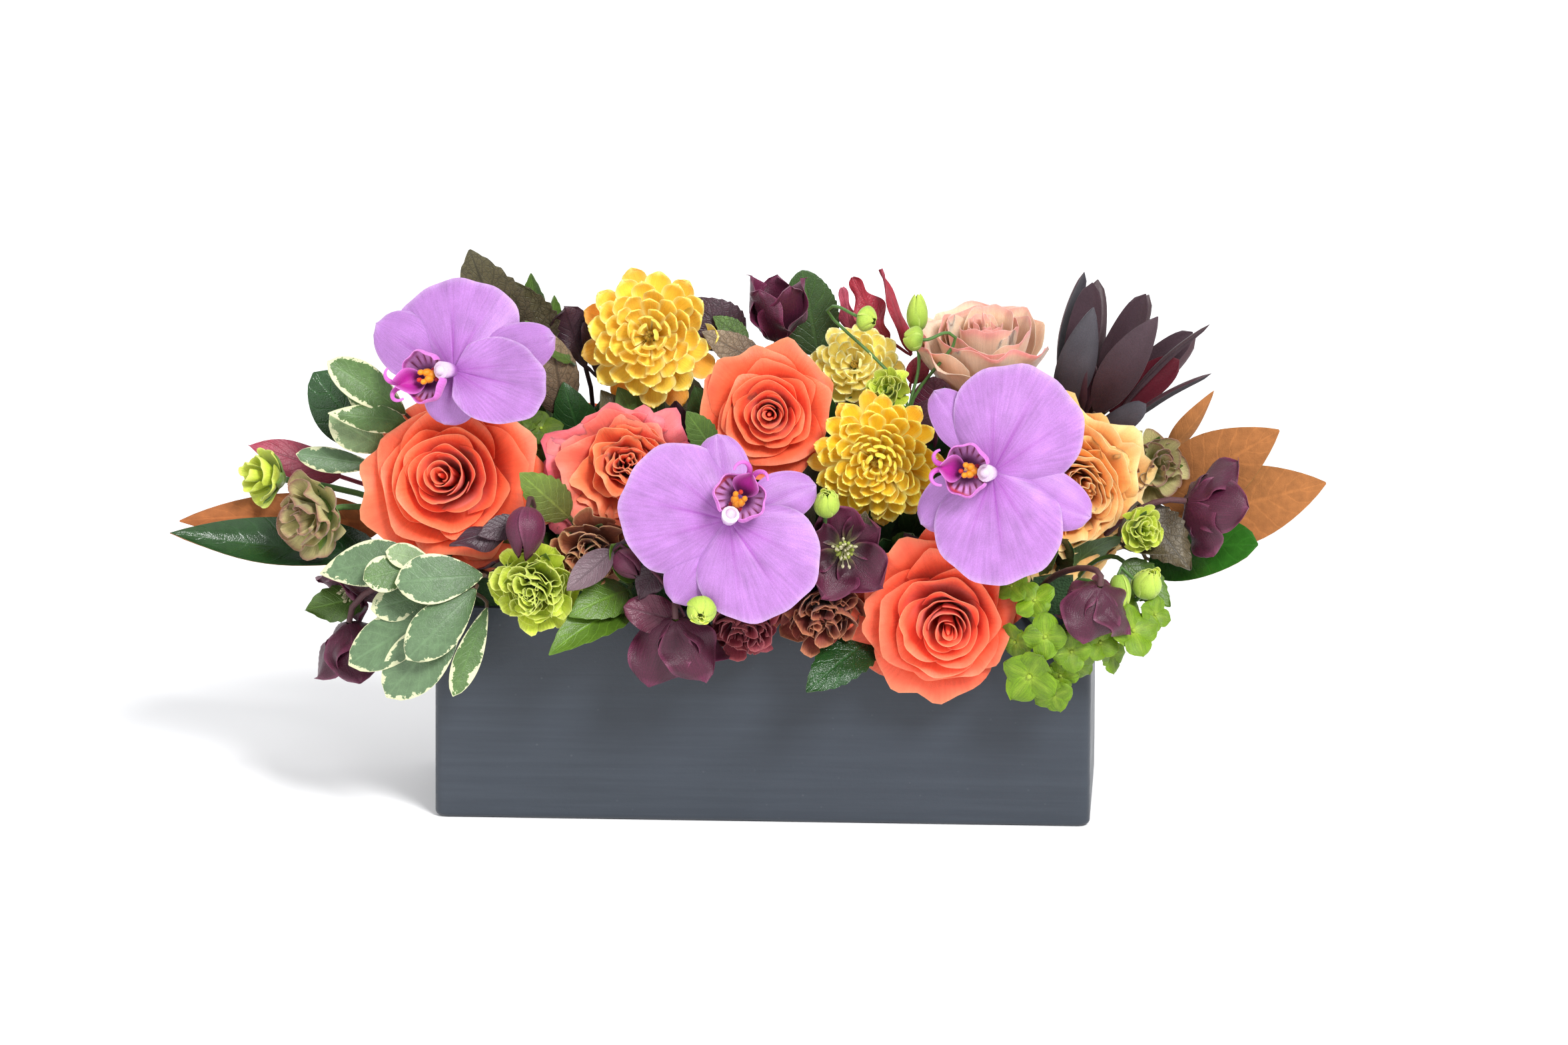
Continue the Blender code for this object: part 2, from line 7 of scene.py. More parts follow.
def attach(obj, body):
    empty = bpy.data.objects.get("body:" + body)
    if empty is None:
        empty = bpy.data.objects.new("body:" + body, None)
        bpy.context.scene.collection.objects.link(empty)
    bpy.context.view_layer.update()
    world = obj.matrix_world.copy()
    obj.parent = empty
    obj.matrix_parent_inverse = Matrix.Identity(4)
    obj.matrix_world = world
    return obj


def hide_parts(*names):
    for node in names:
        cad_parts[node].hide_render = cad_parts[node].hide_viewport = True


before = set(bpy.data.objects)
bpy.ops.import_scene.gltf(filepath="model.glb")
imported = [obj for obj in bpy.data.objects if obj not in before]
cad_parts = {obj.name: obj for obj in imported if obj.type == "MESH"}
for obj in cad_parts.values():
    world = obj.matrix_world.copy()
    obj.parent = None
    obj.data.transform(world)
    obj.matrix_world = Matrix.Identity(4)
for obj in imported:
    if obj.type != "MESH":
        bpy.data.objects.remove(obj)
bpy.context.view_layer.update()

# The camera stands eight metres in front of the box with a long lens, a little to the right and
# looking down on it. It is placed so that the box's front foot lies where the photograph has it.
photo_width = 2353
photo_height = 1568
camera_turn = math.radians(2.2)
camera_tilt = math.radians(15.0)
camera_roll = math.radians(0.27)
camera_distance = 8.0
pixels_per_metre = 3223.0
front_foot = np.array([0.0, -0.051, 0.0])
front_foot_seen = np.array([1143.5, 1234.2])

backward = np.array([
    math.sin(camera_turn) * math.cos(camera_tilt),
    -math.cos(camera_turn) * math.cos(camera_tilt),
    math.sin(camera_tilt),
])
level = np.array([math.cos(camera_turn), math.sin(camera_turn), 0.0])
raised = np.cross(backward, level)
sideways = level * math.cos(camera_roll) + raised * math.sin(camera_roll)
upward = raised * math.cos(camera_roll) - level * math.sin(camera_roll)
off_centre = (front_foot_seen - 0.5 * np.array([photo_width, photo_height])) / pixels_per_metre
camera_place = front_foot + backward * camera_distance - sideways * off_centre[0] + upward * off_centre[1]
camera = bpy.data.objects.new("photo_camera", bpy.data.cameras.new("photo_camera"))
bpy.context.scene.collection.objects.link(camera)
camera_axes = np.eye(4)
camera_axes[:3, :] = np.column_stack([sideways, upward, backward, camera_place])
camera.matrix_world = Matrix(camera_axes.tolist())
camera.data.lens = pixels_per_metre * camera_distance / photo_width * camera.data.sensor_width
camera.data.clip_end = 100.0
bpy.context.scene.camera = camera
bpy.context.scene.view_settings.view_transform = "Standard"

# The studio: a wide white plane for a floor, one large soft lamp high on the right, weaker ones on
# the left and behind, and even white light from all round.


def knot(material, kind, inputs=None, **settings):
    """Adds one node. Each input is a value or the output of another node."""
    made = material.node_tree.nodes.new(kind)
    for name, value in settings.items():
        setattr(made, name, value)
    for name, value in (inputs or {}).items():
        if isinstance(value, bpy.types.NodeSocket):
            material.node_tree.links.new(value, made.inputs[name])
        else:
            made.inputs[name].default_value = value
    return made


def new_finish(name):
    """An empty material, ready for its nodes."""
    material = bpy.data.materials.new(name)
    material.use_nodes = True
    material.node_tree.nodes.clear()
    return material


def surface(material, inputs):
    """Gives the material its shader and its output."""
    shader = knot(material, "ShaderNodeBsdfPrincipled", inputs)
    knot(material, "ShaderNodeOutputMaterial", {"Surface": shader.outputs["BSDF"]})


lamp_target = Vector((0.0, 0.0, 0.12))
room_white = (0.97, 0.98, 1.0, 1.0)
room_power = 0.78
floor_reach = 15.0
floor_sides = ((-1, -1), (1, -1), (1, 1), (-1, 1))


def lamp(name, place, spread, power):
    """A far lamp with nearly parallel light. spread is how wide it looks, in degrees."""
    light = bpy.data.lights.new(name, "SUN")
    light.angle = math.radians(spread)
    light.energy = power
    item = bpy.data.objects.new(name, light)
    bpy.context.scene.collection.objects.link(item)
    item.location = place
    item.rotation_euler = (lamp_target - Vector(place)).to_track_quat("-Z", "Y").to_euler()


lamp("key_lamp", (1.5, -2.4, 2.6), 20.0, 3.6)
lamp("fill_lamp", (-1.6, -2.6, 0.9), 40.0, 0.7)
lamp("back_lamp", (-1.0, 2.4, 2.2), 60.0, 0.7)
world = bpy.data.worlds.new("white_room")
bpy.context.scene.world = world
world.use_nodes = True
room_light = world.node_tree.nodes["Background"].inputs
room_light["Color"].default_value = room_white
room_light["Strength"].default_value = room_power

floor_mesh = bpy.data.meshes.new("floor")
floor_mesh.from_pydata([(x * floor_reach, y * floor_reach, 0) for x, y in floor_sides], [], [(0, 1, 2, 3)])
floor = bpy.data.objects.new("floor", floor_mesh)
bpy.context.scene.collection.objects.link(floor)
white_paper = new_finish("white_paper")
surface(white_paper, {
    "Base Color": (0.93, 0.93, 0.935, 1.0), "Roughness": 0.9, "Specular IOR Level": 0.1,
})
floor_mesh.materials.append(white_paper)

# The vase: slip-cast stoneware, 305 by 102 by 102 mm, with soft edges and walls that bow by a
# fraction of a millimetre. Its satin slate glaze shows brush streaks and pinholes.
box_length = 305.0
box_width = 102.0
box_height = 102.0
box_wall = 6.0
box_floor = 7.0
box_corner = 4.5
box_edge = 3.0
rim_round = 2.2
floor_inset = 8.0
inside_heights = (92.0, 60.0, 30.0, box_floor + 4.0)
wall_bow = 0.25
wall_set_in = 0.5
wall_share = 0.6
box_crease = math.radians(50)
corner_steps = 6
side_steps = (10, 28)
edge_steps = 6
wall_steps = 16
rim_steps = 8
millimetre = 0.001


def outline_at(inset, height):
    """The vase's outline at one height, with its round corners, made narrower by inset."""
    half_x, half_y = 0.5 * (box_length - inset) - box_corner, 0.5 * (box_width - inset) - box_corner
    corners = ((half_x, -half_y), (half_x, half_y), (-half_x, half_y), (-half_x, -half_y))
    loop = []
    for side, (x, y) in enumerate(corners):
        for turn in range(corner_steps + 1):
            angle = math.radians(-90.0 + 90.0 * side + 90.0 * turn / corner_steps)
            loop.append((x + box_corner * math.cos(angle), y + box_corner * math.sin(angle)))
        angle = math.radians(90.0 * side)
        outward = box_corner * np.array([math.cos(angle), math.sin(angle)])
        begin, end = np.array([x, y]) + outward, np.array(corners[(side + 1) % 4]) + outward
        steps = side_steps[side % 2]
        for step in range(1, steps):
            loop.append(tuple(begin + (end - begin) * step / steps))
    return np.array([(x, y, height) for x, y in loop])


def vase():
    """The vase's outside from its foot to its rim, and its inside down to its floor."""
    rings = [outline_at(floor_inset, 0.0)]
    for step in range(1, edge_steps + 1):
        angle = math.radians(90.0 * step / edge_steps)
        rings.append(outline_at(2.0 * box_edge * (1.0 - math.sin(angle)), box_edge * (1.0 - math.cos(angle))))
    for step in range(1, wall_steps + 1):
        rings.append(outline_at(0.0, box_edge + (box_height - rim_round - box_edge) * step / wall_steps))
    for step in range(1, rim_steps + 1):
        angle = math.radians(180.0 * step / rim_steps)
        height = box_height - rim_round * (1.0 - math.sin(angle))
        rings.append(outline_at(2.0 * rim_round * (1.0 - math.cos(angle)), height))
    for height in inside_heights:
        rings.append(outline_at(2.0 * box_wall, height))
    rings.append(outline_at(2.0 * box_wall + floor_inset, box_floor))
    rings = np.array(rings)
    outside = rings[1:edge_steps + wall_steps + 2]
    x, y, z = outside[..., 0], outside[..., 1], outside[..., 2]
    bow = wall_bow * (np.sin(x / 47.0 + 0.6) * np.cos(z / 38.0 + 0.3) + 0.6 * np.sin(x / 19.0 - z / 23.0))
    y -= np.sign(y) * (wall_set_in + bow) * (z > box_edge) * wall_share
    levels, sides = rings.shape[:2]
    faces = []
    for level_index in range(levels - 1):
        for side in range(sides):
            after = (side + 1) % sides
            low, high = level_index * sides, (level_index + 1) * sides
            faces.append((low + side, low + after, high + after, high + side))
    faces.append(tuple(reversed(range(sides))))
    faces.append(tuple(range((levels - 1) * sides, levels * sides)))
    mesh = bpy.data.meshes.new("slate_vase")
    mesh.from_pydata((rings.reshape(-1, 3) * millimetre).tolist(), [], faces)
    mesh.shade_smooth()
    mesh.set_sharp_from_angle(angle=box_crease)
    item = bpy.data.objects.new("slate_vase", mesh)
    bpy.context.scene.collection.objects.link(item)
    return item


def screen(red, green, blue):
    """A colour as a screen shows it, 0 to 255, turned into linear light."""
    shown = np.array([red, green, blue], float) / 255.0
    return np.where(shown <= 0.04045, shown / 12.92, ((shown + 0.055) / 1.055) ** 2.4)


def paint(red, green, blue):
    """The same colour with full cover, as a node takes it."""
    return (*screen(red, green, blue), 1.0)


def noise(material, place, scale, detail, roughness=0.5):
    """Soft cloudy noise from 0 to 1."""
    inputs = {"Vector": place, "Scale": scale, "Detail": detail, "Roughness": roughness}
    return knot(material, "ShaderNodeTexNoise", inputs).outputs["Fac"]


def ranged(material, value, low, high, at_low, at_high):
    """Carries a value over from one range to another and keeps it inside."""
    inputs = {"Value": value, "From Min": low, "From Max": high, "To Min": at_low, "To Max": at_high}
    return knot(material, "ShaderNodeMapRange", inputs).outputs[0]


def mixed(material, share, first, second):
    """A colour between two, by a share from 0 to 1."""
    return knot(material, "ShaderNodeMixRGB", {"Fac": share, "Color1": first, "Color2": second}).outputs[0]


def reckon(material, operation, *values):
    """One sum with the values, in their order."""
    return knot(material, "ShaderNodeMath", dict(enumerate(values)), operation=operation).outputs[0]


def bumps(material, height, strength, deep=0.0004):
    """Relief that follows height, deep metres from low to high."""
    return knot(material, "ShaderNodeBump", {"Height": height, "Strength": strength, "Distance": deep}).outputs[0]


slate_glaze = new_finish("slate_glaze")
place = knot(slate_glaze, "ShaderNodeTexCoord").outputs["Object"]
brushed = knot(slate_glaze, "ShaderNodeMapping", {"Vector": place, "Scale": (3.0, 3.0, 90.0)}).outputs[0]
streaks = noise(slate_glaze, brushed, 3.0, 6.0, 0.65)
mottle = noise(slate_glaze, place, 16.0, 5.0, 0.6)
specks = noise(slate_glaze, place, 700.0, 2.0)
slate = mixed(slate_glaze, mottle, paint(37, 43, 51), paint(47, 54, 64))
streak_share = ranged(slate_glaze, streaks, 0.40, 0.75, 0.0, 0.28)
streaked = mixed(slate_glaze, streak_share, slate, paint(65, 72, 81))
pinholes = knot(slate_glaze, "ShaderNodeTexVoronoi", {"Vector": place, "Scale": 130.0, "Randomness": 1.0})
pinhole_share = ranged(slate_glaze, pinholes.outputs["Distance"], 0.05, 0.085, 0.75, 0.0)
pinhole_share = reckon(slate_glaze, "MULTIPLY", pinhole_share, streak_share)
surface(slate_glaze, {
    "Base Color": mixed(slate_glaze, pinhole_share, streaked, paint(120, 124, 126)),
    "Roughness": ranged(slate_glaze, streaks, 0.3, 0.7, 0.36, 0.52), "Specular IOR Level": 0.45,
    "Normal": bumps(slate_glaze, reckon(slate_glaze, "ADD", mottle, specks), 0.25),
})
slate_vase = vase()
slate_vase.data.materials.append(slate_glaze)
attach(slate_vase, "root")
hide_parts("box")

# The floral foam: one soaked brick on its long edge and a piece cut from a second. It is green
# phenolic foam with open cells, cut with a knife, and the stems are pushed into it.
wet_foam = new_finish("wet_foam")
place = knot(wet_foam, "ShaderNodeTexCoord").outputs["Object"]
cells = knot(wet_foam, "ShaderNodeTexVoronoi", {"Vector": place, "Scale": 900.0}).outputs["Distance"]
patches = noise(wet_foam, place, 40.0, 4.0)
surface(wet_foam, {
    "Base Color": mixed(wet_foam, patches, paint(24, 48, 28), paint(52, 84, 44)),
    "Roughness": 0.9, "Normal": bumps(wet_foam, cells, 0.7, 0.0006),
})
for foam_piece in ("foam_brick", "foam_offcut"):
    foam_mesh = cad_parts[foam_piece].data
    for slot_index in range(len(foam_mesh.materials)):
        foam_mesh.materials[slot_index] = wet_foam

# The roses: three orange ones with a high spiral centre, cut half open, two garden roses with a
# crowd of ruffled petals, and three more for the back. Every petal is one thin curved sheet.


def ease(value, low, high):
    """A smooth step from 0 at low to 1 at high."""
    part = np.clip((value - low) / (high - low), 0.0, 1.0)
    return part * part * (3.0 - 2.0 * part)


def facing(turn, tilt):
    """The right, the upward and the forward direction of a bloom that faces that way."""
    turn, tilt = math.radians(turn), math.radians(tilt)
    front = np.array([math.sin(turn) * math.cos(tilt), -math.cos(turn) * math.cos(tilt), math.sin(tilt)])
    right = np.array([math.cos(turn), math.sin(turn), 0.0])
    return right, np.cross(front, right), front


def stand(shape, centre, turn, tilt):
    """Moves points from a bloom's own frame, right, up and forward, to their place."""
    right, up, front = facing(turn, tilt)
    return np.array(centre) + shape[..., 0:1] * right + shape[..., 1:2] * up + shape[..., 2:3] * front


class Gathering:
    """The petals, leaves and stalks of one piece, gathered into one mesh. Sizes are in millimetres."""

    def __init__(self):
        self.points, self.faces, self.slots = [], [], []
        self.tints, self.grains, self.corners = [], [], []
        self.count, self.cells = 0, 0

    def keep(self, points, faces, tint, grain, corners, slot):
        """Adds one closed patch. corners holds each face's corners in the patch's own cell of the map."""
        self.points.append(points)
        self.tints.append(tint)
        self.grains.append(grain)
        for block, spread in zip(faces, corners):
            self.faces.append(block + self.count)
            self.corners.append((self.cells, spread))
            self.slots.append(np.full(len(block), slot))
        self.count += len(points)
        self.cells += 1

    def sheet(self, grid, tint, thick=0.5, under=None, seed=0.0, slot=0):
        """A thin petal or leaf from a grid of points, rows from its base to its tip."""
        rows, columns = grid.shape[:2]
        normal = np.cross(np.gradient(grid, axis=0), np.gradient(grid, axis=1))
        normal /= np.linalg.norm(normal, axis=2, keepdims=True) + 1e-9
        half = np.full((rows, columns, 1), 0.5 * thick)
        half[[0, -1]] *= 0.35
        half[:, [0, -1]] *= 0.35
        points = np.concatenate([(grid + normal * half).reshape(-1, 3), (grid - normal * half).reshape(-1, 3)])
        index = np.arange(rows * columns).reshape(rows, columns)
        back = index + rows * columns
        front_faces = np.stack([index[:-1, :-1], index[1:, :-1], index[1:, 1:], index[:-1, 1:]], -1).reshape(-1, 4)
        back_faces = np.stack([back[:-1, :-1], back[:-1, 1:], back[1:, 1:], back[1:, :-1]], -1).reshape(-1, 4)
        edge = np.concatenate([index[:-1, 0], index[-1, :-1], index[:0:-1, -1], index[0, :0:-1]])
        after = np.roll(edge, -1)
        rim = np.stack([after, edge, edge + rows * columns, after + rows * columns], -1)
        u, v = np.meshgrid(np.linspace(0, 1, rows), np.linspace(0, 1, columns), indexing="ij")
        flat = np.stack([0.05 + 0.40 * v, 0.05 + 0.90 * u], -1).reshape(-1, 2)
        other = flat + np.array([0.5, 0.0])
        both = np.concatenate([flat, other])
        middle = np.array([0.25, 0.5])
        outer = middle + (flat - middle) * np.array([1.12, 1.06])
        spread = [both[front_faces], both[back_faces]]
        spread.append(np.stack([flat[after], flat[edge], outer[edge], outer[after]], 1))
        tint = np.broadcast_to(tint, (rows, columns, 3)).reshape(-1, 3)
        under = tint if under is None else np.broadcast_to(under, (rows, columns, 3)).reshape(-1, 3)
        tints = np.concatenate([np.c_[tint, np.ones(len(tint))], np.c_[under, np.zeros(len(under))]])
        grain = np.stack([u, 2.0 * v - 1.0, np.full_like(u, seed)], -1).reshape(-1, 3)
        self.keep(points, [front_faces, back_faces, rim], tints, np.concatenate([grain, grain]), spread, slot)

    def rod(self, path, radii, tint, sides=8, slot=0):
        """A round stalk, bud or bead along a path, closed at both ends."""
        path, radii = np.asarray(path, float), np.asarray(radii, float)
        ways = np.gradient(path, axis=0)
        ways /= np.linalg.norm(ways, axis=1, keepdims=True) + 1e-9
        side = np.cross(ways[0], (0.31, 0.17, 0.93) if abs(ways[0][2]) < 0.9 else (0.93, 0.31, 0.17))
        angles = np.linspace(0, 2 * math.pi, sides, endpoint=False)
        rings = []
        for point, way, radius in zip(path, ways, radii):
            side = side - way * side.dot(way)
            side /= np.linalg.norm(side)
            ring = np.outer(np.cos(angles), side) + np.outer(np.sin(angles), np.cross(way, side))
            rings.append(point + radius * ring)
        rings = np.array(rings)
        rows = len(rings)
        ends = [path[0] - ways[0] * radii[0] * 0.15, path[-1] + ways[-1] * radii[-1] * 0.15]
        points = np.concatenate([rings.reshape(-1, 3), ends])
        index = np.arange(rows * sides).reshape(rows, sides)
        after = np.roll(index, -1, axis=1)
        walls = np.stack([index[:-1], after[:-1], after[1:], index[1:]], -1).reshape(-1, 4)
        first, last = rows * sides, rows * sides + 1
        foot = np.stack([np.full(sides, first), after[0], index[0]], -1)
        head = np.stack([np.full(sides, last), index[-1], after[-1]], -1)
        u = 0.08 + 0.84 * np.arange(rows) / max(rows - 1, 1)
        v = 0.05 + 0.90 * np.arange(sides + 1) / sides
        uu, vv = np.meshgrid(u, v, indexing="ij")
        lay = np.stack([vv, uu], -1)
        wall_map = np.stack([lay[:-1, :-1], lay[:-1, 1:], lay[1:, 1:], lay[1:, :-1]], 2).reshape(-1, 4, 2)
        foot_map = np.stack([lay[0, :-1] * [1, 0] + [0.05, 0.03], lay[0, 1:], lay[0, :-1]], 1)
        head_map = np.stack([lay[-1, :-1] * [1, 0] + [0.05, 0.97], lay[-1, :-1], lay[-1, 1:]], 1)
        tint = np.asarray(tint, float)
        if tint.ndim == 2:
            tint = np.repeat(tint[:, None, :], sides, axis=1)
        tint = np.broadcast_to(tint, (rows, sides, 3))
        tints = np.concatenate([tint.reshape(-1, 3), tint[0, :1], tint[-1, :1]])
        tints = np.c_[tints, np.ones(len(tints))]
        grain = np.zeros((rows, sides, 3))
        grain[..., 0] = (np.arange(rows) / max(rows - 1, 1))[:, None]
        grain[..., 1] = np.abs(angles / math.pi - 1.0) * 2.0 - 1.0
        grain = np.concatenate([grain.reshape(-1, 3), [[0, 0, 0], [1, 0, 0]]])
        self.keep(points, [walls, foot, head], tints, grain, [wall_map, foot_map, head_map], slot)

    def make(self, name, finishes, slot_name, *replaced):
        """The finished piece, with its map, which rides on the vase and replaces its CAD nodes."""
        points = np.concatenate(self.points) * millimetre
        faces = [tuple(face) for block in self.faces for face in block.tolist()]
        mesh = bpy.data.meshes.new(name)
        mesh.from_pydata(points.tolist(), [], faces)
        tint = mesh.attributes.new("tint", "FLOAT_COLOR", "POINT")
        tint.data.foreach_set("color", np.concatenate(self.tints).astype(np.float32).ravel())
        grain = mesh.attributes.new("grain", "FLOAT_VECTOR", "POINT")
        grain.data.foreach_set("vector", np.concatenate(self.grains).astype(np.float32).ravel())
        across = math.ceil(math.sqrt(self.cells))
        spread = []
        for cell, corners in self.corners:
            spread.append(((corners + np.array([cell % across, cell // across])) / across).reshape(-1, 2))
        layer = mesh.uv_layers.new(name="OFBake")
        layer.uv.foreach_set("vector", np.concatenate(spread).astype(np.float32).ravel())
        mesh.polygons.foreach_set("material_index", np.concatenate(self.slots).astype(np.int32))
        for finish in finishes:
            mesh.materials.append(finish)
        mesh.shade_smooth()
        mesh.set_sharp_from_angle(angle=math.radians(62))
        item = bpy.data.objects.new(name, mesh)
        bpy.context.scene.collection.objects.link(item)
        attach(item, "root")
        if replaced:
            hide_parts(*replaced)
        return item


foam_top = 117.3
foam_front = -40.0
foam_back = 40.0
foam_left = -143.5
foam_right = 143.5
side_hole_height = 110.5
foam_core = np.array([0.86, 0.0, 65.3])


stem_in_foam = 24.0
stem_straight = 3.0
golden_angle = math.radians(137.5)


def unit(vector):
    """The same direction, one long."""
    vector = np.asarray(vector, float)
    return vector / np.linalg.norm(vector)


def curve_between(start, end, leaving, arriving, count):
    """Points along one even curve that leaves and arrives in the given directions."""
    start, end = np.asarray(start, float), np.asarray(end, float)
    reach = 0.35 * np.linalg.norm(end - start)
    one, two = start + unit(leaving) * reach, end - unit(arriving) * reach
    t = np.linspace(0, 1, count)[:, None]
    return start * (1 - t) ** 3 + 3 * one * t * (1 - t) ** 2 + 3 * two * t * t * (1 - t) + end * t ** 3


def stem(work, hole, neck, way, radius, tint, slot=0):
    """A stem from the foam to the neck of what it carries, in one even curve."""
    on_side = hole[0] in (foam_left, foam_right) or hole[1] in (foam_front, foam_back)
    entry = np.array([hole[0], hole[1], side_hole_height if on_side else foam_top])
    out = unit(entry - np.array([hole[0] * foam_core[0], 0.0, foam_core[2]]))
    curve = curve_between(entry + out * stem_straight, neck, out, way, 9)
    path = np.concatenate([[entry - out * stem_in_foam, entry], curve])
    work.rod(path, np.full(len(path), radius), tint, slot=slot)


def petal_finish(name, veins, vein_depth, cell, cell_depth, rough, sheen=0.15, relief=0.35, through=0.0, pale=1.0):
    """A petal's surface: its own colours, made as pale as pale says, lengthwise veins and fine cells.

    through is how much it glows with the light behind it.
    """
    made = new_finish(name)
    tint = knot(made, "ShaderNodeAttribute", attribute_name="tint").outputs["Color"]
    grain = knot(made, "ShaderNodeAttribute", attribute_name="grain").outputs["Vector"]
    place = knot(made, "ShaderNodeTexCoord").outputs["Object"]
    drawn = knot(made, "ShaderNodeMapping", {"Vector": grain, "Scale": (2.5, veins, 31.0)})
    vein = noise(made, drawn.outputs[0], 1.0, 4.0, 0.6)
    cells = noise(made, place, 1000.0 / cell, 1.0)
    lines = ranged(made, vein, 0.32, 0.68, 1.0 - vein_depth, 1.0 + 0.5 * vein_depth)
    dots = ranged(made, cells, 0.3, 0.7, 1.0 - cell_depth, 1.0 + cell_depth)
    blotches = ranged(made, noise(made, place, 90.0, 3.0), 0.3, 0.7, 0.88 * pale, 1.1 * pale)
    shade = reckon(made, "MULTIPLY", reckon(made, "MULTIPLY", lines, dots), blotches)
    colour = knot(made, "ShaderNodeVectorMath", {0: tint, "Scale": shade}, operation="SCALE")
    surface(made, {
        "Base Color": colour.outputs[0], "Roughness": rough, "Specular IOR Level": 0.35,
        "Sheen Weight": sheen, "Sheen Roughness": 0.4,
        "Subsurface Weight": through, "Subsurface Radius": (1.0, 0.7, 0.6), "Subsurface Scale": 0.0015,
        "Normal": bumps(made, reckon(made, "ADD", vein, cells), relief),
    })
    return made


rose_petal = petal_finish("rose_petal", veins=26.0, vein_depth=0.10, cell=0.4, cell_depth=0.05, rough=0.5,
                          relief=0.3, through=0.7)
green_stalk = petal_finish("green_stalk", veins=9.0, vein_depth=0.25, cell=0.8, cell_depth=0.1, rough=0.45, pale=0.75)
stalk_green = screen(86, 128, 58)


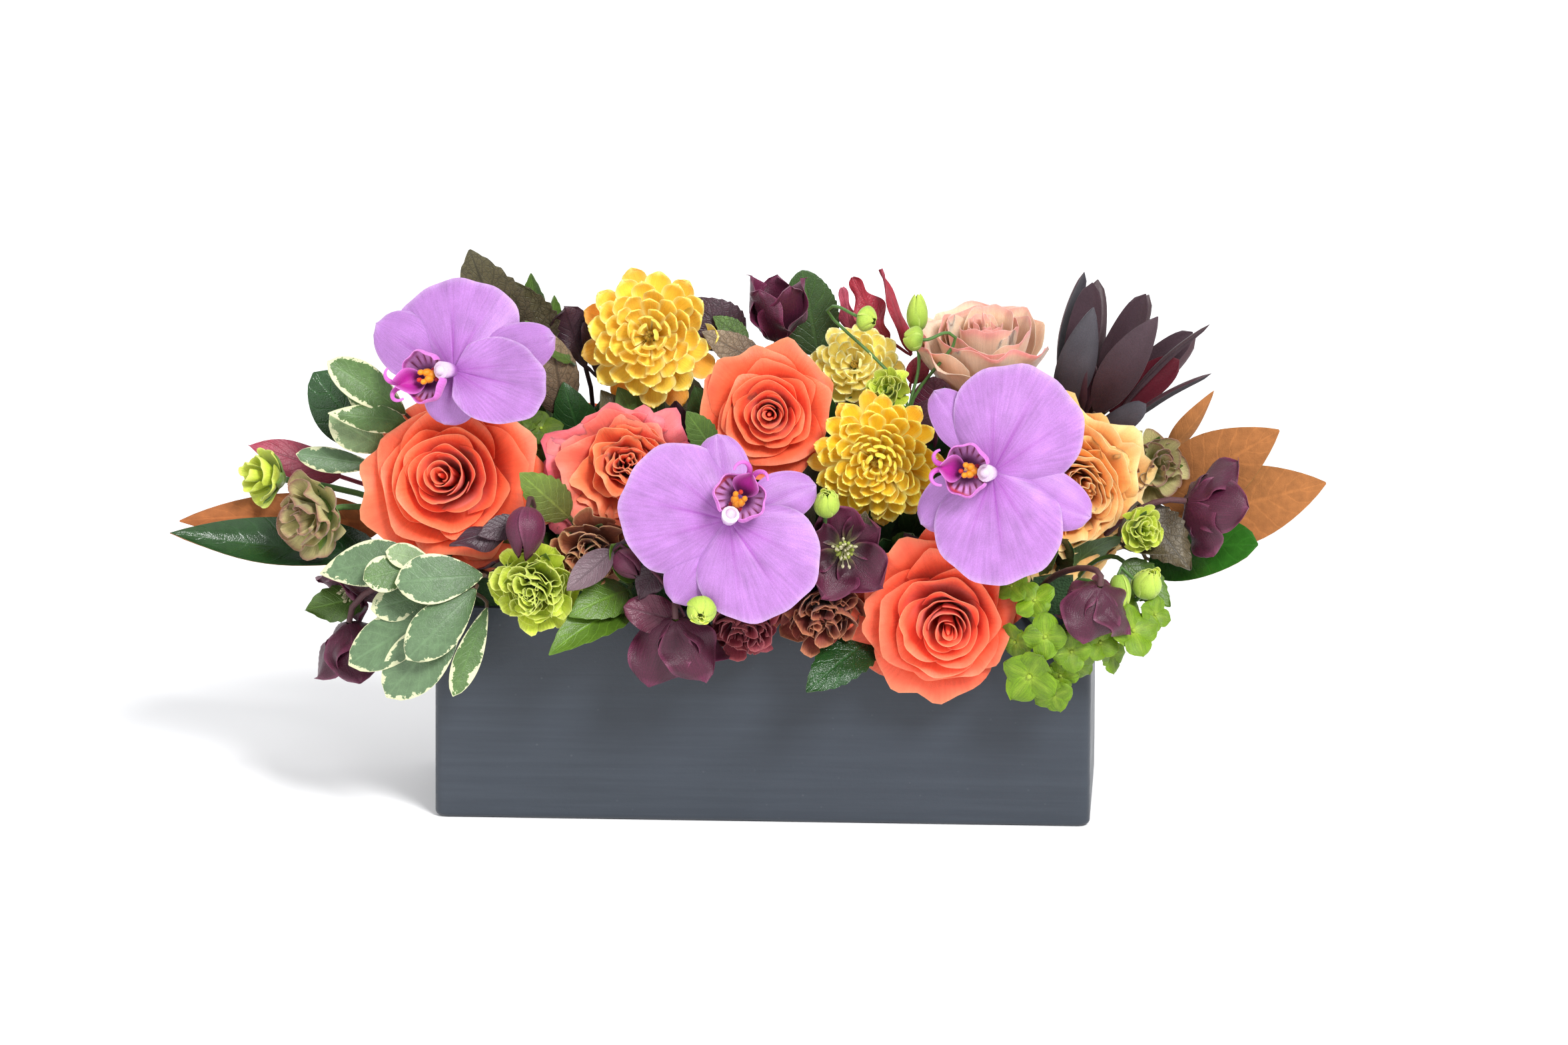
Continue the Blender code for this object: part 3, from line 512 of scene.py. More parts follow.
def rose(work, centre, radius, turn, tilt, seed, tones, hole, petals, frill=0.0, scatter=0.0,
         cup=0.62, core=0.0, eye=(0.0, 0.0), blush=None, edge=None, closed=0.0, tall=1.0):
    """A rose from its tight core outwards. tones are its depth, body, rim and outside colours.

    blush is what its outer petals turn to, edge is the colour of their rims, closed from 0 to 1 makes
    the head a cup with upright rims, and tall stretches it from its neck to its rims. The redder depth
    colour at each petal's foot is partly the petal's own and partly painted shade in the folds, and the
    paler rim colour is partly the rim's own and partly a painted highlight.
    """
    draw = np.random.default_rng(seed)
    deep, body, rim, outside = tones
    rows, columns = 15, 25
    u = np.linspace(0, 1, rows)[:, None] ** 0.85
    v = np.linspace(-1, 1, columns)[None, :]
    start = draw.uniform(0, 2 * math.pi)
    for number in range(petals):
        t = (number + 0.5) / petals
        ring = radius * (0.016 + 1.09 * t ** 1.15) * (1.0 + draw.normal(0, 0.05))
        half = math.radians(126.0 - 66.0 * t ** 0.5) * draw.uniform(0.88, 1.12)
        angle = start + golden_angle * number + draw.normal(0, 0.22 + scatter)
        top = radius * (0.22 + core * (1.0 - t) - cup * t ** 1.9 + draw.normal(0, 0.03 + 0.04 * scatter))
        lopsided = draw.normal(0, 0.06) * ease(t, 0.1, 0.5)
        foot = -0.92 * radius
        corner = draw.uniform(0.26, 0.40) * (0.4 + 0.6 * t)
        corners_at = draw.uniform(0.1, 0.66)
        s = u * (1.0 - corner * np.abs(v) ** 3.2)
        knee = ring * (1.06 - 0.50 * t + 0.65 * closed * t)
        knee_top = top - radius * (0.60 - 0.36 * t)
        r = 2.0 * knee * s * (1.0 - s) + ring * s ** 2 + 1.0
        z = foot * (1.0 - s) ** 2 + 2.0 * knee_top * s * (1.0 - s) + top * s ** 2
        r = r * (1.0 + 0.14 * t * np.exp(-((np.abs(v) - corners_at) / 0.14) ** 2) * ease(s, 0.6, 1.0))
        roll = math.radians(20.0 + 64.0 * ease(t, 0.05, 0.7)) * draw.uniform(0.6, 1.3) * (1.0 - 0.6 * closed)
        begin = 0.80 - 0.12 * ease(t, 0.3, 1.0)
        uneven = 0.45 + 0.75 * np.abs(v) ** 1.2 + 0.15 * np.sin(5 * v + draw.uniform(0, 6))
        rolled = roll * ease(s, begin, 1.0) * uneven
        dr, dz = np.diff(r, axis=0), np.diff(z, axis=0)
        bend = 0.5 * (rolled[1:] + rolled[:-1])
        r = np.concatenate([r[:1], r[:1] + np.cumsum(dr * np.cos(bend) + dz * np.sin(bend), axis=0)])
        z = np.concatenate([z[:1], z[:1] + np.cumsum(dz * np.cos(bend) - dr * np.sin(bend), axis=0)])
        wave = draw.uniform(0, 6.28, 6)
        near_rim = ease(s, 0.45, 1.0)
        soft = np.sin(2.6 * v + wave[0]) + 0.6 * np.sin(4.7 * v + wave[1] + 2.0 * s)
        crisp = np.sin(7.0 * v + wave[2] + 3.0 * s) + 0.7 * t * np.sin(17.0 * v + wave[3])
        frilled = frill * (0.35 + 0.65 * t)
        wavy = 0.018 * soft * (0.3 + t) + frilled * 0.05 * crisp
        lifted = 0.022 * np.sin(3.1 * v + wave[4]) + frilled * 0.05 * np.sin(11.0 * v + wave[5])
        r = r * (1.0 + 0.07 * v * (0.4 + 0.6 * t)) + near_rim * radius * wavy
        z = z + near_rim * radius * lifted
        z = z + near_rim * radius * lopsided * v
        bearing = angle + half * v
        shift = (1.0 - np.clip(r / radius, 0, 1)) * radius
        grid = np.stack([r * np.cos(bearing) + eye[0] * shift, r * np.sin(bearing) + eye[1] * shift, z], -1)
        grid[..., 2] = np.minimum(grid[..., 2], 0.30 * radius) * tall
        paler = draw.normal(0, 0.04)
        older = 0.9 * ease(t, 0.45, 0.95)
        flesh = body if blush is None else body + (blush - body) * older
        border = rim if edge is None else rim + (edge - rim) * (0.1 + 0.9 * older)
        # Partly painted light: each petal turns to the redder depth colour towards its foot, partly its own colour and
        # partly painted shade in the folds, and paler at its rim, partly its own colour and partly a painted
        # highlight.
        inner = deep + (flesh - deep) * ease(s, 0.30 - 0.2 * older, 0.72 - 0.3 * older)[..., None]
        inner = inner + (border - inner) * (ease(s, 0.88, 1.0) * (0.7 + paler))[..., None]
        outer = outside + (border - outside) * ease(s, 0.84, 1.0)[..., None] * 0.8
        inner = inner * (1.0 + paler)
        work.sheet(stand(grid, centre, turn, tilt), inner, thick=0.45, under=outer * (1.0 + paler),
                   seed=number * 0.37 + seed)
    heart = np.stack([np.full(6, eye[0]), np.full(6, eye[1]), np.linspace(-0.5, 0.17, 6) * tall], -1) * radius
    heart_radii = radius * np.array([0.05, 0.05, 0.045, 0.04, 0.032, 0.015])
    work.rod(stand(heart, centre, turn, tilt), heart_radii, body, sides=10)
    front = facing(turn, tilt)[2]
    neck = np.array(centre) - front * (0.92 * tall + 0.08) * radius
    hip = np.linspace(0, 1, 7)
    path = neck + np.outer(hip * 0.3 * radius, front)
    swell = radius * (0.09 + 0.13 * np.sin(math.pi * (0.15 + 0.7 * hip)))
    work.rod(path, swell, stalk_green * 0.9, sides=12, slot=1)
    for number in range(5):
        bearing = 2 * math.pi * number / 5 + 0.3
        u, v = np.linspace(0, 1, 9)[:, None], np.linspace(-1, 1, 5)[None, :]
        wide = radius * 0.15 * np.sin(math.pi * (0.18 + 0.8 * u)) * v
        out = radius * (0.14 + 0.62 * np.sin(1.5 * u)) + 0.0 * v
        x = out * math.cos(bearing) - wide * math.sin(bearing)
        y = out * math.sin(bearing) + wide * math.cos(bearing)
        z = radius * (0.04 - 0.92 * tall + 0.35 * u - 0.42 * u ** 2) + 0.08 * radius * v ** 2
        work.sheet(stand(np.stack([x, y, z], -1), centre, turn, tilt), stalk_green, thick=0.6,
                   under=stalk_green * 1.1, seed=number, slot=1)
    stem(work, hole, neck, front, 2.4, stalk_green * 0.8, slot=1)


# Rose tones: depth (partly painted shade), body, rim (partly a painted highlight) and outside.
orange_tones = (screen(253, 80, 48), screen(255, 106, 68), screen(255, 138, 100), screen(254, 104, 70))
coral_tones = (screen(250, 72, 50), screen(255, 100, 68), screen(255, 134, 98), screen(254, 102, 76))
pink_tones = (screen(254, 98, 50), screen(254, 126, 76), screen(254, 166, 116), screen(240, 120, 112))
petal_pink = screen(232, 112, 124)
petal_magenta = screen(200, 58, 108)
peach_tones = (screen(255, 160, 88), screen(255, 182, 110), screen(255, 208, 150), screen(255, 188, 128))
blush_tones = (screen(226, 172, 136), screen(228, 196, 170), screen(226, 144, 146), screen(226, 192, 168))

for name, centre, radius, turn, tilt, hole, tones, slot_name, seed, more in (
    ("rose_left", (-146, -50, 162), 40, -10, 18, (-116, -18), orange_tones, "orange_petal", 11,
     {"petals": 26, "eye": (-0.08, 0.06)}),
    ("rose_centre", (2, -38, 193), 29, 0, 12, (6, -10), orange_tones, "orange_petal", 23, {"petals": 24}),
    ("rose_front", (84, -87, 108), 38, 2, -2, (80, foam_front), coral_tones, "orange_petal", 37,
     {"petals": 24, "eye": (0.08, -0.10)}),
    ("rose_pink", (-68, -46, 165), 33, 4, 20, (-68, -22), pink_tones, "pink_petal", 41,
     {"petals": 38, "frill": 1.5, "scatter": 0.7, "cup": 0.42, "core": -0.05, "blush": petal_pink,
      "edge": petal_magenta, "eye": (0.16, 0.22)}),
    ("rose_peach", (132, -37, 154), 45, 12, 5, (116, -14), peach_tones, "peach_petal", 53,
     {"petals": 36, "frill": 1.6, "scatter": 0.6, "cup": 0.42, "core": -0.04, "eye": (0.4, 0.1)}),
    ("rose_back", (101, 20, 216), 29, 8, 80, (92, 12), blush_tones, "peach_petal", 67,
     {"petals": 20, "frill": 0.6, "scatter": 0.3, "cup": 0.12, "edge": petal_pink, "closed": 0.8, "tall": 1.5}),
    ("rose_rear_left", (-84, 58, 150), 37, 188, 28, (-82, 26), orange_tones, "orange_petal", 71, {"petals": 25}),
    ("rose_rear_right", (64, 62, 144), 35, 172, 24, (62, 26), pink_tones, "pink_petal", 83,
     {"petals": 30, "frill": 0.9, "scatter": 0.45, "cup": 0.45, "core": -0.10, "blush": petal_pink,
      "edge": petal_magenta}),
):
    work = Gathering()
    rose(work, centre, radius, turn, tilt, seed, tones, hole, **more)
    work.make(name + "_bloom", [rose_petal, green_stalk], slot_name, name)

# The moth orchids: each has two broad petals, three narrower sepals behind them, and a small
# magenta lip with a spotted throat round an orange callus, under a white-capped column.


def petal_fan(length, spread, lean, droop, ripple, crease, draw):
    """A broad petal that opens like a fan from its claw, along +x and lying in the xy plane."""
    u = np.linspace(0.03, 1, 20)[:, None]
    phi = np.linspace(-spread, spread, 49)[None, :]
    reach = length * np.cos(phi) ** 0.7 * (1.0 + 0.22 * np.sin(phi) ** 2)
    wave = draw.uniform(0, 6.28, 4)
    reach = reach * (1.0 + 0.012 * np.sin(9 * phi + wave[2]) * u ** 4 + 0.008 * np.sin(17 * phi + wave[3]) * u ** 4)
    x, y = reach * u * np.cos(phi), reach * u * np.sin(phi)
    z = length * (lean * u - droop * u ** 2 - 0.10 * (np.sin(phi) * u) ** 2)
    waves = np.sin(3.1 * phi + wave[0]) + 0.5 * np.sin(6.3 * phi + wave[1])
    z = z + length * ripple * ease(u, 0.35, 1.0) * waves
    z = z - length * crease * np.exp(-(phi / 0.10) ** 2) * np.sin(math.pi * np.clip(u * 1.2, 0, 1))
    return np.stack([x, y, z], -1), u + 0 * phi, phi / spread + 0 * u


def petal_long(length, half_width, lean, droop, ripple, crease, draw):
    """A sepal, longer than wide, along +x and lying in the xy plane."""
    u = np.linspace(0.0, 1, 26)[:, None]
    v = np.linspace(-1, 1, 17)[None, :]
    wide = half_width * (0.18 + 0.82 * ease(u, -0.05, 0.62)) * (1 - u ** 4.5) ** 0.55
    wave = draw.uniform(0, 6.28, 3)
    z = length * (lean * u - droop * u ** 2) - half_width * 0.18 * v ** 2
    z = z + length * ripple * ease(u, 0.2, 1.0) * np.abs(v) * np.sin(4.0 * u + 2.5 * v + wave[0])
    z = z - length * crease * np.exp(-(v / 0.14) ** 2)
    grid = np.stack([length * u + 0 * v, wide * v + length * 0.02 * np.sin(3 * u + wave[1]), z], -1)
    return grid, u + 0 * v, v + 0 * u


def turned(grid, angle):
    """Turns a shape in its own xy plane, in degrees from +x."""
    c, s = math.cos(math.radians(angle)), math.sin(math.radians(angle))
    return np.stack([grid[..., 0] * c - grid[..., 1] * s, grid[..., 0] * s + grid[..., 1] * c, grid[..., 2]], -1)


def blend_tint(first, second, share):
    """A tint between two, for each point."""
    share = np.asarray(share)[..., None]
    return np.asarray(first) * (1.0 - share) + np.asarray(second) * share


orchid_petal = petal_finish("orchid_petal", veins=34.0, vein_depth=0.16, cell=0.42, cell_depth=0.10, rough=0.42,
                            sheen=0.2, relief=0.25, through=0.2, pale=0.8)
orchid_lilac = screen(181, 125, 198)
orchid_pale = screen(200, 164, 214)
orchid_magenta = screen(156, 60, 170)
orchid_back = screen(184, 138, 202)
lip_magenta = screen(186, 36, 156)
lip_purple = screen(92, 14, 82)
lip_cream = screen(216, 152, 216)
lip_red = screen(120, 14, 50)
lip_flame = screen(206, 54, 50)
lip_rim = screen(226, 124, 218)
callus_orange = screen(246, 150, 20)


def orchid_tint(u, v, magenta):
    """Lilac with a magenta heart and main veins, and a paler thin rim."""
    heart = magenta * (1.0 - ease(u, 0.05, 0.55))
    veins = 0.5 * np.exp(-(v / 0.035) ** 2) + 0.28 * np.exp(-((np.abs(v) - 0.33) / 0.03) ** 2)
    veins = veins * (1.0 - ease(u, 0.35, 0.85))
    tint = blend_tint(orchid_lilac, orchid_magenta, np.clip(heart + veins, 0, 1))
    near_rim = np.maximum(u, np.abs(v) * 0.97 * ease(u, 0.2, 0.6))
    return blend_tint(tint, orchid_pale, ease(near_rim, 0.93, 1.0) * 0.8)


def orchid_lip(work, centre, turn, tilt, angle, size):
    """The lip beside the column: a cup of two side lobes round the callus, and a tongue with two tendrils."""

    def put(grid):
        return stand(turned(grid, angle), centre, turn, tilt)

    u, v = np.linspace(0, 1, 18)[:, None], np.linspace(-1, 1, 73)[None, :]
    around = math.radians(158.0) * v
    lobes = np.sin(0.5 * around * math.pi / math.radians(158.0)) ** 2
    reach = size * (0.07 + 0.42 * np.sin((1.55 + 0.55 * lobes) * u)) * (1.0 + 0.05 * np.sin(7 * around + 1.0) * u)
    cup = np.stack([
        size * 0.50 + 0.92 * reach * np.cos(around), 1.06 * reach * np.sin(around),
        size * (0.02 + (0.34 + 0.34 * lobes) * u ** 1.4) + 0 * v,
    ], -1)
    stripes = ease(np.sin(46.0 * v + 1.5 * u), 0.2, 0.9) * ease(u, 0.22, 0.4) * (1 - ease(u, 0.58, 0.74))
    tint = blend_tint(lip_purple, lip_cream, ease(u + 0 * v, 0.12, 0.42))
    tint = blend_tint(tint, lip_red, stripes)
    flame = ease(u, 0.52, 0.7) * (1 - ease(u, 0.78, 0.92)) * np.exp(-((v - 0.45) / 0.3) ** 2)
    tint = blend_tint(tint, lip_flame, flame)
    tint = blend_tint(tint, lip_magenta, ease(u + 0 * v, 0.66, 0.86) * 0.8)
    tint = blend_tint(tint, lip_rim, ease(u + 0 * v, 0.88, 1.0))
    under = blend_tint(lip_magenta, lip_rim, ease(u + 0 * v, 0.3, 0.9))
    work.sheet(put(cup), tint, thick=0.8, under=under, seed=5.7)
    u, v = np.linspace(0, 1, 12)[:, None], np.linspace(-1, 1, 11)[None, :]
    wide = size * (0.10 + 0.24 * np.sin(math.pi * u ** 0.9)) * (1 - 0.45 * u)
    tongue = np.stack([
        size * (0.55 + 0.56 * u - 0.10 * u ** 2) + 0 * v, wide * v,
        size * (0.12 + 0.50 * u - 0.10 * u ** 2 + 0.26 * v ** 2 * (0.4 + u)),
    ], -1)
    tint = blend_tint(lip_purple, lip_magenta, ease(u + 0 * v, 0.1, 0.6))
    tint = blend_tint(tint, lip_rim, ease(np.abs(v) + 0 * u, 0.7, 1.0) * 0.8)
    work.sheet(put(tongue), tint, thick=0.9, under=lip_rim, seed=3.1)
    for way in (-1, 1):
        t = np.linspace(0, 1, 16)
        coil = math.pi * t * (1.15 if way > 0 else 0.9)
        x = size * (1.0 + 0.16 * np.sin(coil))
        y = way * size * (0.05 + 0.13 * (1 - np.cos(coil)) + 0.04 * t)
        z = size * (0.52 + 0.16 * t + 0.10 * np.sin(2.2 * t))
        path = put(np.stack([x, y, z], -1))
        work.rod(path, size * np.linspace(0.06, 0.025, 16), blend_tint(lip_magenta, lip_rim, t ** 0.6))
    for x, y, z, r, tint in (
        (0.42, 0.07, 0.36, 0.085, callus_orange), (0.42, -0.07, 0.36, 0.085, callus_orange),
        (0.52, 0.10, 0.44, 0.06, callus_orange * 1.1), (0.52, -0.10, 0.44, 0.06, callus_orange * 1.1),
        (0.36, 0.0, 0.30, 0.10, callus_orange * 0.8), (0.60, 0.03, 0.42, 0.05, screen(210, 50, 30)),
        (0.30, 0.09, 0.24, 0.06, screen(180, 30, 60)), (0.30, -0.09, 0.24, 0.06, screen(180, 30, 60)),
    ):
        t = np.linspace(-0.95, 0.95, 7)
        path = put(np.array([[size * x + size * r * 0.6 * s, size * y, size * z + size * r * 1.2 * s] for s in t]))
        work.rod(path, size * r * np.sqrt(1 - t ** 2), tint)
    t = np.linspace(0, 1, 9)
    path = put(np.stack([size * (0.02 + 0.10 * t ** 2), 0 * t, size * (0.02 + 0.42 * t)], -1))
    column_tint = blend_tint(orchid_magenta, screen(240, 214, 240), ease(t, 0.2, 0.9))
    work.rod(path, size * (0.13 + 0.05 * t), column_tint, sides=12)
    t = np.linspace(-0.97, 0.97, 9)
    path = put(np.stack([size * (0.13 + 0.05 * t), 0 * t, size * (0.42 + 0.10 * t)], -1))
    work.rod(path, size * 0.115 * np.sqrt(1 - t ** 2) ** 0.8, screen(226, 204, 226), sides=12)


lip_size = 23.5


for name, centre, turn, tilt, hole, lip_angle, seed, petals, sepals in (
    ("orchid_left", (-144, -50, 215), -16, 20, (-128, 4), 205, 5,
     ((102, 44, 1.50, -0.24, 0.02, 0.02, 1.06), (352, 49, 1.35, 0.10, -0.05, 0.05, 0.64)),
     ((24, 48, 14.0, -0.12, 0.06), (156, 48, 16, -0.10, 0.06), (262, 25, 14, -0.05, 0.10))),
    ("orchid_centre", (-14, -101, 159), 0, 15, (-22, -30), 63, 9,
     ((168, 51, 1.50, 0.02, 0.10, 0.022, 0.94), (306, 50, 1.50, 0.06, 0.08, 0.03, 0.94)),
     ((238, 46, 14.5, -0.05, 0.05), (98, 40, 13.5, -0.12, 0.05), (22, 43, 13, -0.10, 0.08))),
    ("orchid_right", (107, -96, 182), 0, 12, (74, -30), 173, 14,
     ((62, 52, 1.50, 0.02, 0.08, 0.02, 0.94), (278, 52, 1.50, 0.04, 0.10, 0.028, 0.90)),
     ((337, 50, 14.5, -0.04, 0.05), (126, 46, 12, -0.14, 0.06), (216, 41, 13.5, -0.08, 0.08))),
):
    work = Gathering()
    draw = np.random.default_rng(seed)
    for angle, length, half_width, lean, droop in sepals:
        grid, u, v = petal_long(length, half_width, lean, droop, 0.02, 0.012, draw)
        grid[..., 2] -= 2.2
        work.sheet(stand(turned(grid, angle), centre, turn, tilt), orchid_tint(u, v, 0.75), thick=0.8,
                   under=orchid_back, seed=angle)
    for angle, length, spread, lean, droop, ripple, breadth in petals:
        grid, u, v = petal_fan(length, spread, lean, droop, ripple, 0.02, draw)
        grid[..., 1] *= breadth
        work.sheet(stand(turned(grid, angle), centre, turn, tilt), orchid_tint(u, v, 0.5), thick=0.8,
                   under=orchid_back, seed=angle)
    orchid_lip(work, centre, turn, tilt, lip_angle, lip_size)
    front = facing(turn, tilt)[2]
    stem(work, hole, np.array(centre) - front * 3.0, front, 1.7, screen(110, 120, 60), slot=1)
    work.make(name + "_bloom", [orchid_petal, green_stalk], "lilac_petal", name)

# The dahlias: a spiral of cupped florets, each rolled into a tube at its foot and open like a
# spoon at its end, tight and small at the heart and brown-orange and limp at the outside.
dahlia_floret = petal_finish("dahlia_floret", veins=10.0, vein_depth=0.12, cell=0.5, cell_depth=0.05, rough=0.5,
                             through=0.6)
floret_along = 1.0 - (1.0 - np.linspace(0, 1, 11)[:, None]) ** 1.7
floret_across = np.linspace(-1, 1, 9)[None, :]


def floret(foot, tip, opening, width, closed, hood):
    """A cupped floret from foot to tip, open towards opening. closed is how far it rolls at its foot."""
    u, v = floret_along, floret_across
    along = tip - foot
    length = np.linalg.norm(along)
    along = along / length
    opening = opening - along * opening.dot(along)
    opening /= np.linalg.norm(opening)
    across = np.cross(opening, along)
    half = width * (0.34 + 0.66 * ease(u, 0.05, 0.70)) * np.sqrt(np.clip(1.0 - u ** 12, 0.02, 1))
    roll = closed * (1.0 - ease(u, 0.05, 0.72)) + 0.78
    y = half * np.sin(roll * v) / np.maximum(np.sin(np.minimum(roll, 1.45)), 0.2)
    z = half * (1.0 - np.cos(roll * v)) * 0.8
    z = z + length * hood * ease(u, 0.72, 1.0) - length * 0.10 * np.sin(math.pi * u)
    x = length * u * (1.0 - 0.06 * v ** 2 * u)
    return foot + x[..., None] * along + y[..., None] * across + z[..., None] * opening


def dahlia(work, centre, radius, turn, tilt, seed, count, tones, hole, heart, spent):
    """A dahlia head. tones are the inside, the rim, the outside and the spent outer florets' colours.

    heart is how wide its middle is and spent is how far its outer florets hang. The inside colour is
    partly the floret's own and partly painted shade in each cup, and the rim colour is partly its own
    and partly a painted highlight.
    """
    draw = np.random.default_rng(seed)
    inside, rim, outside, faded = tones
    right, up, front = facing(turn, tilt)
    base = np.array(centre)

    def out_of(point):
        return base + point[0] * right + point[1] * up + point[2] * front

    for number in range(count):
        t = (number + 0.5) / count
        bearing = golden_angle * number + draw.normal(0, 0.07)
        ring = radius * (heart + (1.0 - heart) * t ** 0.62) * (1.0 + draw.normal(0, 0.02))
        around = np.array([math.cos(bearing), math.sin(bearing), 0.0])
        top = radius * (0.30 - 0.60 * t ** 1.9 + draw.normal(0, 0.015))
        foot = around * ring * 0.30 + np.array([0, 0, radius * (-0.34 + 0.30 * (1 - t))])
        tip = around * ring + np.array([0, 0, top])
        droop = spent * ease(t, 0.80, 1.0)
        tip = tip - np.array([0, 0, radius * 0.45 * droop]) * draw.uniform(0.5, 1.2)
        opening = -around * (0.30 + 0.4 * (1 - t)) + np.array([0, 0, 1.0])
        width = radius * (0.07 + 0.10 * t ** 0.5) * math.sqrt(78.0 / count) * draw.uniform(0.92, 1.08)
        world_foot, world_tip = out_of(foot), out_of(tip)
        world_opening = opening[0] * right + opening[1] * up + opening[2] * front
        way = world_tip - world_foot
        twist = draw.normal(0, 0.16)
        world_opening = world_opening + twist * np.cross(world_opening, way) / np.linalg.norm(way)
        grid = floret(world_foot, world_tip, world_opening, width, 1.4 - 0.9 * t, 0.03 + 0.10 * (1 - t))
        u, v = floret_along, floret_across
        # Partly painted light: each floret is deeper yellow inside its cup, partly its own colour and partly painted
        # shade, and paler at its sides and tip, partly its own colour and partly a painted highlight.
        edge = ease(np.maximum(np.abs(v) + 0 * u, ease(u, 0.75, 1.0)), 0.55, 0.95)
        tint = blend_tint(inside, rim, edge) * (1.0 + draw.normal(0, 0.04))
        tint = blend_tint(tint, faded, np.full(edge.shape, np.clip(droop * 1.2, 0, 1)))
        back = blend_tint(outside, faded, np.full(edge.shape, np.clip(0.25 * t + droop, 0, 1)))
        work.sheet(grid, tint, thick=0.4, under=back, seed=number * 0.7 + seed)
    for number in range(7):
        bearing = math.radians(51.4) * number
        spot = np.array([math.cos(bearing), math.sin(bearing), 0.0]) * radius * heart * (0.5 if number else 0.0)
        path = [out_of(spot + np.array([0, 0, radius * (0.02 + 0.05 * step)])) for step in range(4)]
        work.rod(path, radius * np.array([0.02, 0.035, 0.035, 0.015]), screen(150, 120, 30), sides=6)
    path = [out_of(np.array([0, 0, radius * (-0.55 + 0.11 * step)])) for step in range(5)]
    work.rod(path, radius * np.array([0.14, 0.30, 0.36, 0.30, 0.12]), stalk_green * 0.8, sides=12, slot=1)
    stem(work, hole, out_of(np.array([0, 0, -0.55 * radius])), front, 2.0, stalk_green * 0.8, slot=1)


# Dahlia tones: inside (partly painted shade), rim (partly a painted highlight), outside, and spent florets.
golden_tones = (screen(255, 208, 78), screen(255, 238, 152), screen(255, 222, 98), screen(238, 150, 52))
butter_tones = (screen(254, 226, 118), screen(255, 248, 188), screen(254, 242, 160), screen(236, 190, 96))
amber_tones = (screen(255, 206, 52), screen(255, 242, 138), screen(255, 226, 84), screen(250, 160, 42))
for name, centre, radius, turn, tilt, hole, count, tones, seed, more in (
    ("dahlia_left", (-55, -5, 221), 35, 0, 18, (-50, 2), 66, golden_tones, 3, {"heart": 0.08, "spent": 0.7}),
    ("dahlia_right", (52, -50, 174), 33, -2, 8, (46, -14), 96, amber_tones, 6, {"heart": 0.06, "spent": 0.4}),
    ("dahlia_back", (40, 5, 206), 24, 0, 30, (36, 10), 56, butter_tones, 8, {"heart": 0.10, "spent": 0.3}),
):
    work = Gathering()
    dahlia(work, centre, radius, turn, tilt, seed, count, tones, hole, **more)
    work.make(name + "_bloom", [dahlia_floret, green_stalk], "yellow_petal", name)

# The hellebores: broad wine-dark sepals with a grey bloom on them round a ring of small green
# nectaries and a tuft of pale stamens. Some nod and show their backs, and two are still buds.


def ovate(u):
    """Widest below its middle and pointed."""
    return 0.10 * (1 - u) + np.sin(math.pi * u ** 0.78) ** 0.8


def rounded(u):
    """Widest above its middle, with a blunt round tip."""
    return 0.07 * (1 - u) + (u ** 0.85) * np.sqrt(np.clip(1.0 - u ** 4.5, 0.001, 1)) * 1.08


def slender(u):
    """Long and even, pointed at its tip."""
    return 0.10 * (1 - u) + np.sin(math.pi * u ** 0.9) ** 0.75


def broad(u):
    """Nearly round, with a short point."""
    return 0.12 * (1 - u) + np.sin(math.pi * np.clip(u, 0, 1) ** 0.95) ** 0.55


def blade(base, tip, face, half_width, outline, bow=0.0, curl=0.0, ripple=0.0, phase=0.0, rows=14, columns=9,
          teeth=0, tooth=0.08, sway=0.0, twist=0.0):
    """A leaf or sepal from base to tip that shows its upper side to face. Sizes are in millimetres."""
    u, v = np.linspace(0, 1, rows)[:, None], np.linspace(-1, 1, columns)[None, :]
    base, tip, face = (np.asarray(item, float) for item in (base, tip, face))
    way = tip - base
    length = np.linalg.norm(way)
    way = way / length
    rise = face - way * face.dot(way)
    rise /= np.linalg.norm(rise)
    across = np.cross(rise, way)
    slope = 4.0 * bow * (1.0 - 2.0 * u) / length
    along = way + rise * slope
    along /= np.linalg.norm(along, axis=1, keepdims=True)
    normal = np.cross(along, across)
    middle = base + way * length * u + rise * bow * 4.0 * u * (1.0 - u) + across * sway * 4.0 * u * (1.0 - u)
    half = half_width * outline(u)
    if teeth:
        half = half * (1.0 - tooth * (1.0 - (u * teeth) % 1.0) * ease(u, 0.05, 0.2))
    half = np.maximum(half, 0.03 * half_width)
    bent = curl if abs(curl) > 0.02 else 0.02
    y = half * np.sin(bent * v) / bent
    z = half * (1.0 - np.cos(bent * v)) / bent
    z = z + ripple * half_width * np.abs(v) ** 1.5 * np.sin(9.0 * u + 2.2 * v + phase) * ease(u, 0.05, 0.35)
    spin = twist * u
    y, z = y * np.cos(spin) - z * np.sin(spin), y * np.sin(spin) + z * np.cos(spin)
    return middle[:, None, :] + y[..., None] * across + z[..., None] * normal[:, None, :]


def patch(grid):
    """How far along and across each point of a petal lies."""
    rows, columns = grid.shape[:2]
    return np.meshgrid(np.linspace(0, 1, rows), np.linspace(-1, 1, columns), indexing="ij")


wine_sepal = petal_finish("wine_sepal", veins=30.0, vein_depth=0.35, cell=0.5, cell_depth=0.16, rough=0.36,
                          sheen=0.05, relief=0.5, pale=0.75)
wine_dark = screen(58, 16, 34)
wine_light = screen(122, 40, 78)
wine_back = screen(82, 26, 52)
wine_rim = screen(142, 62, 100)
nectary_green = screen(176, 190, 84)
stamen_cream = screen(226, 220, 176)


nectary_count = 12
stamen_count = 26


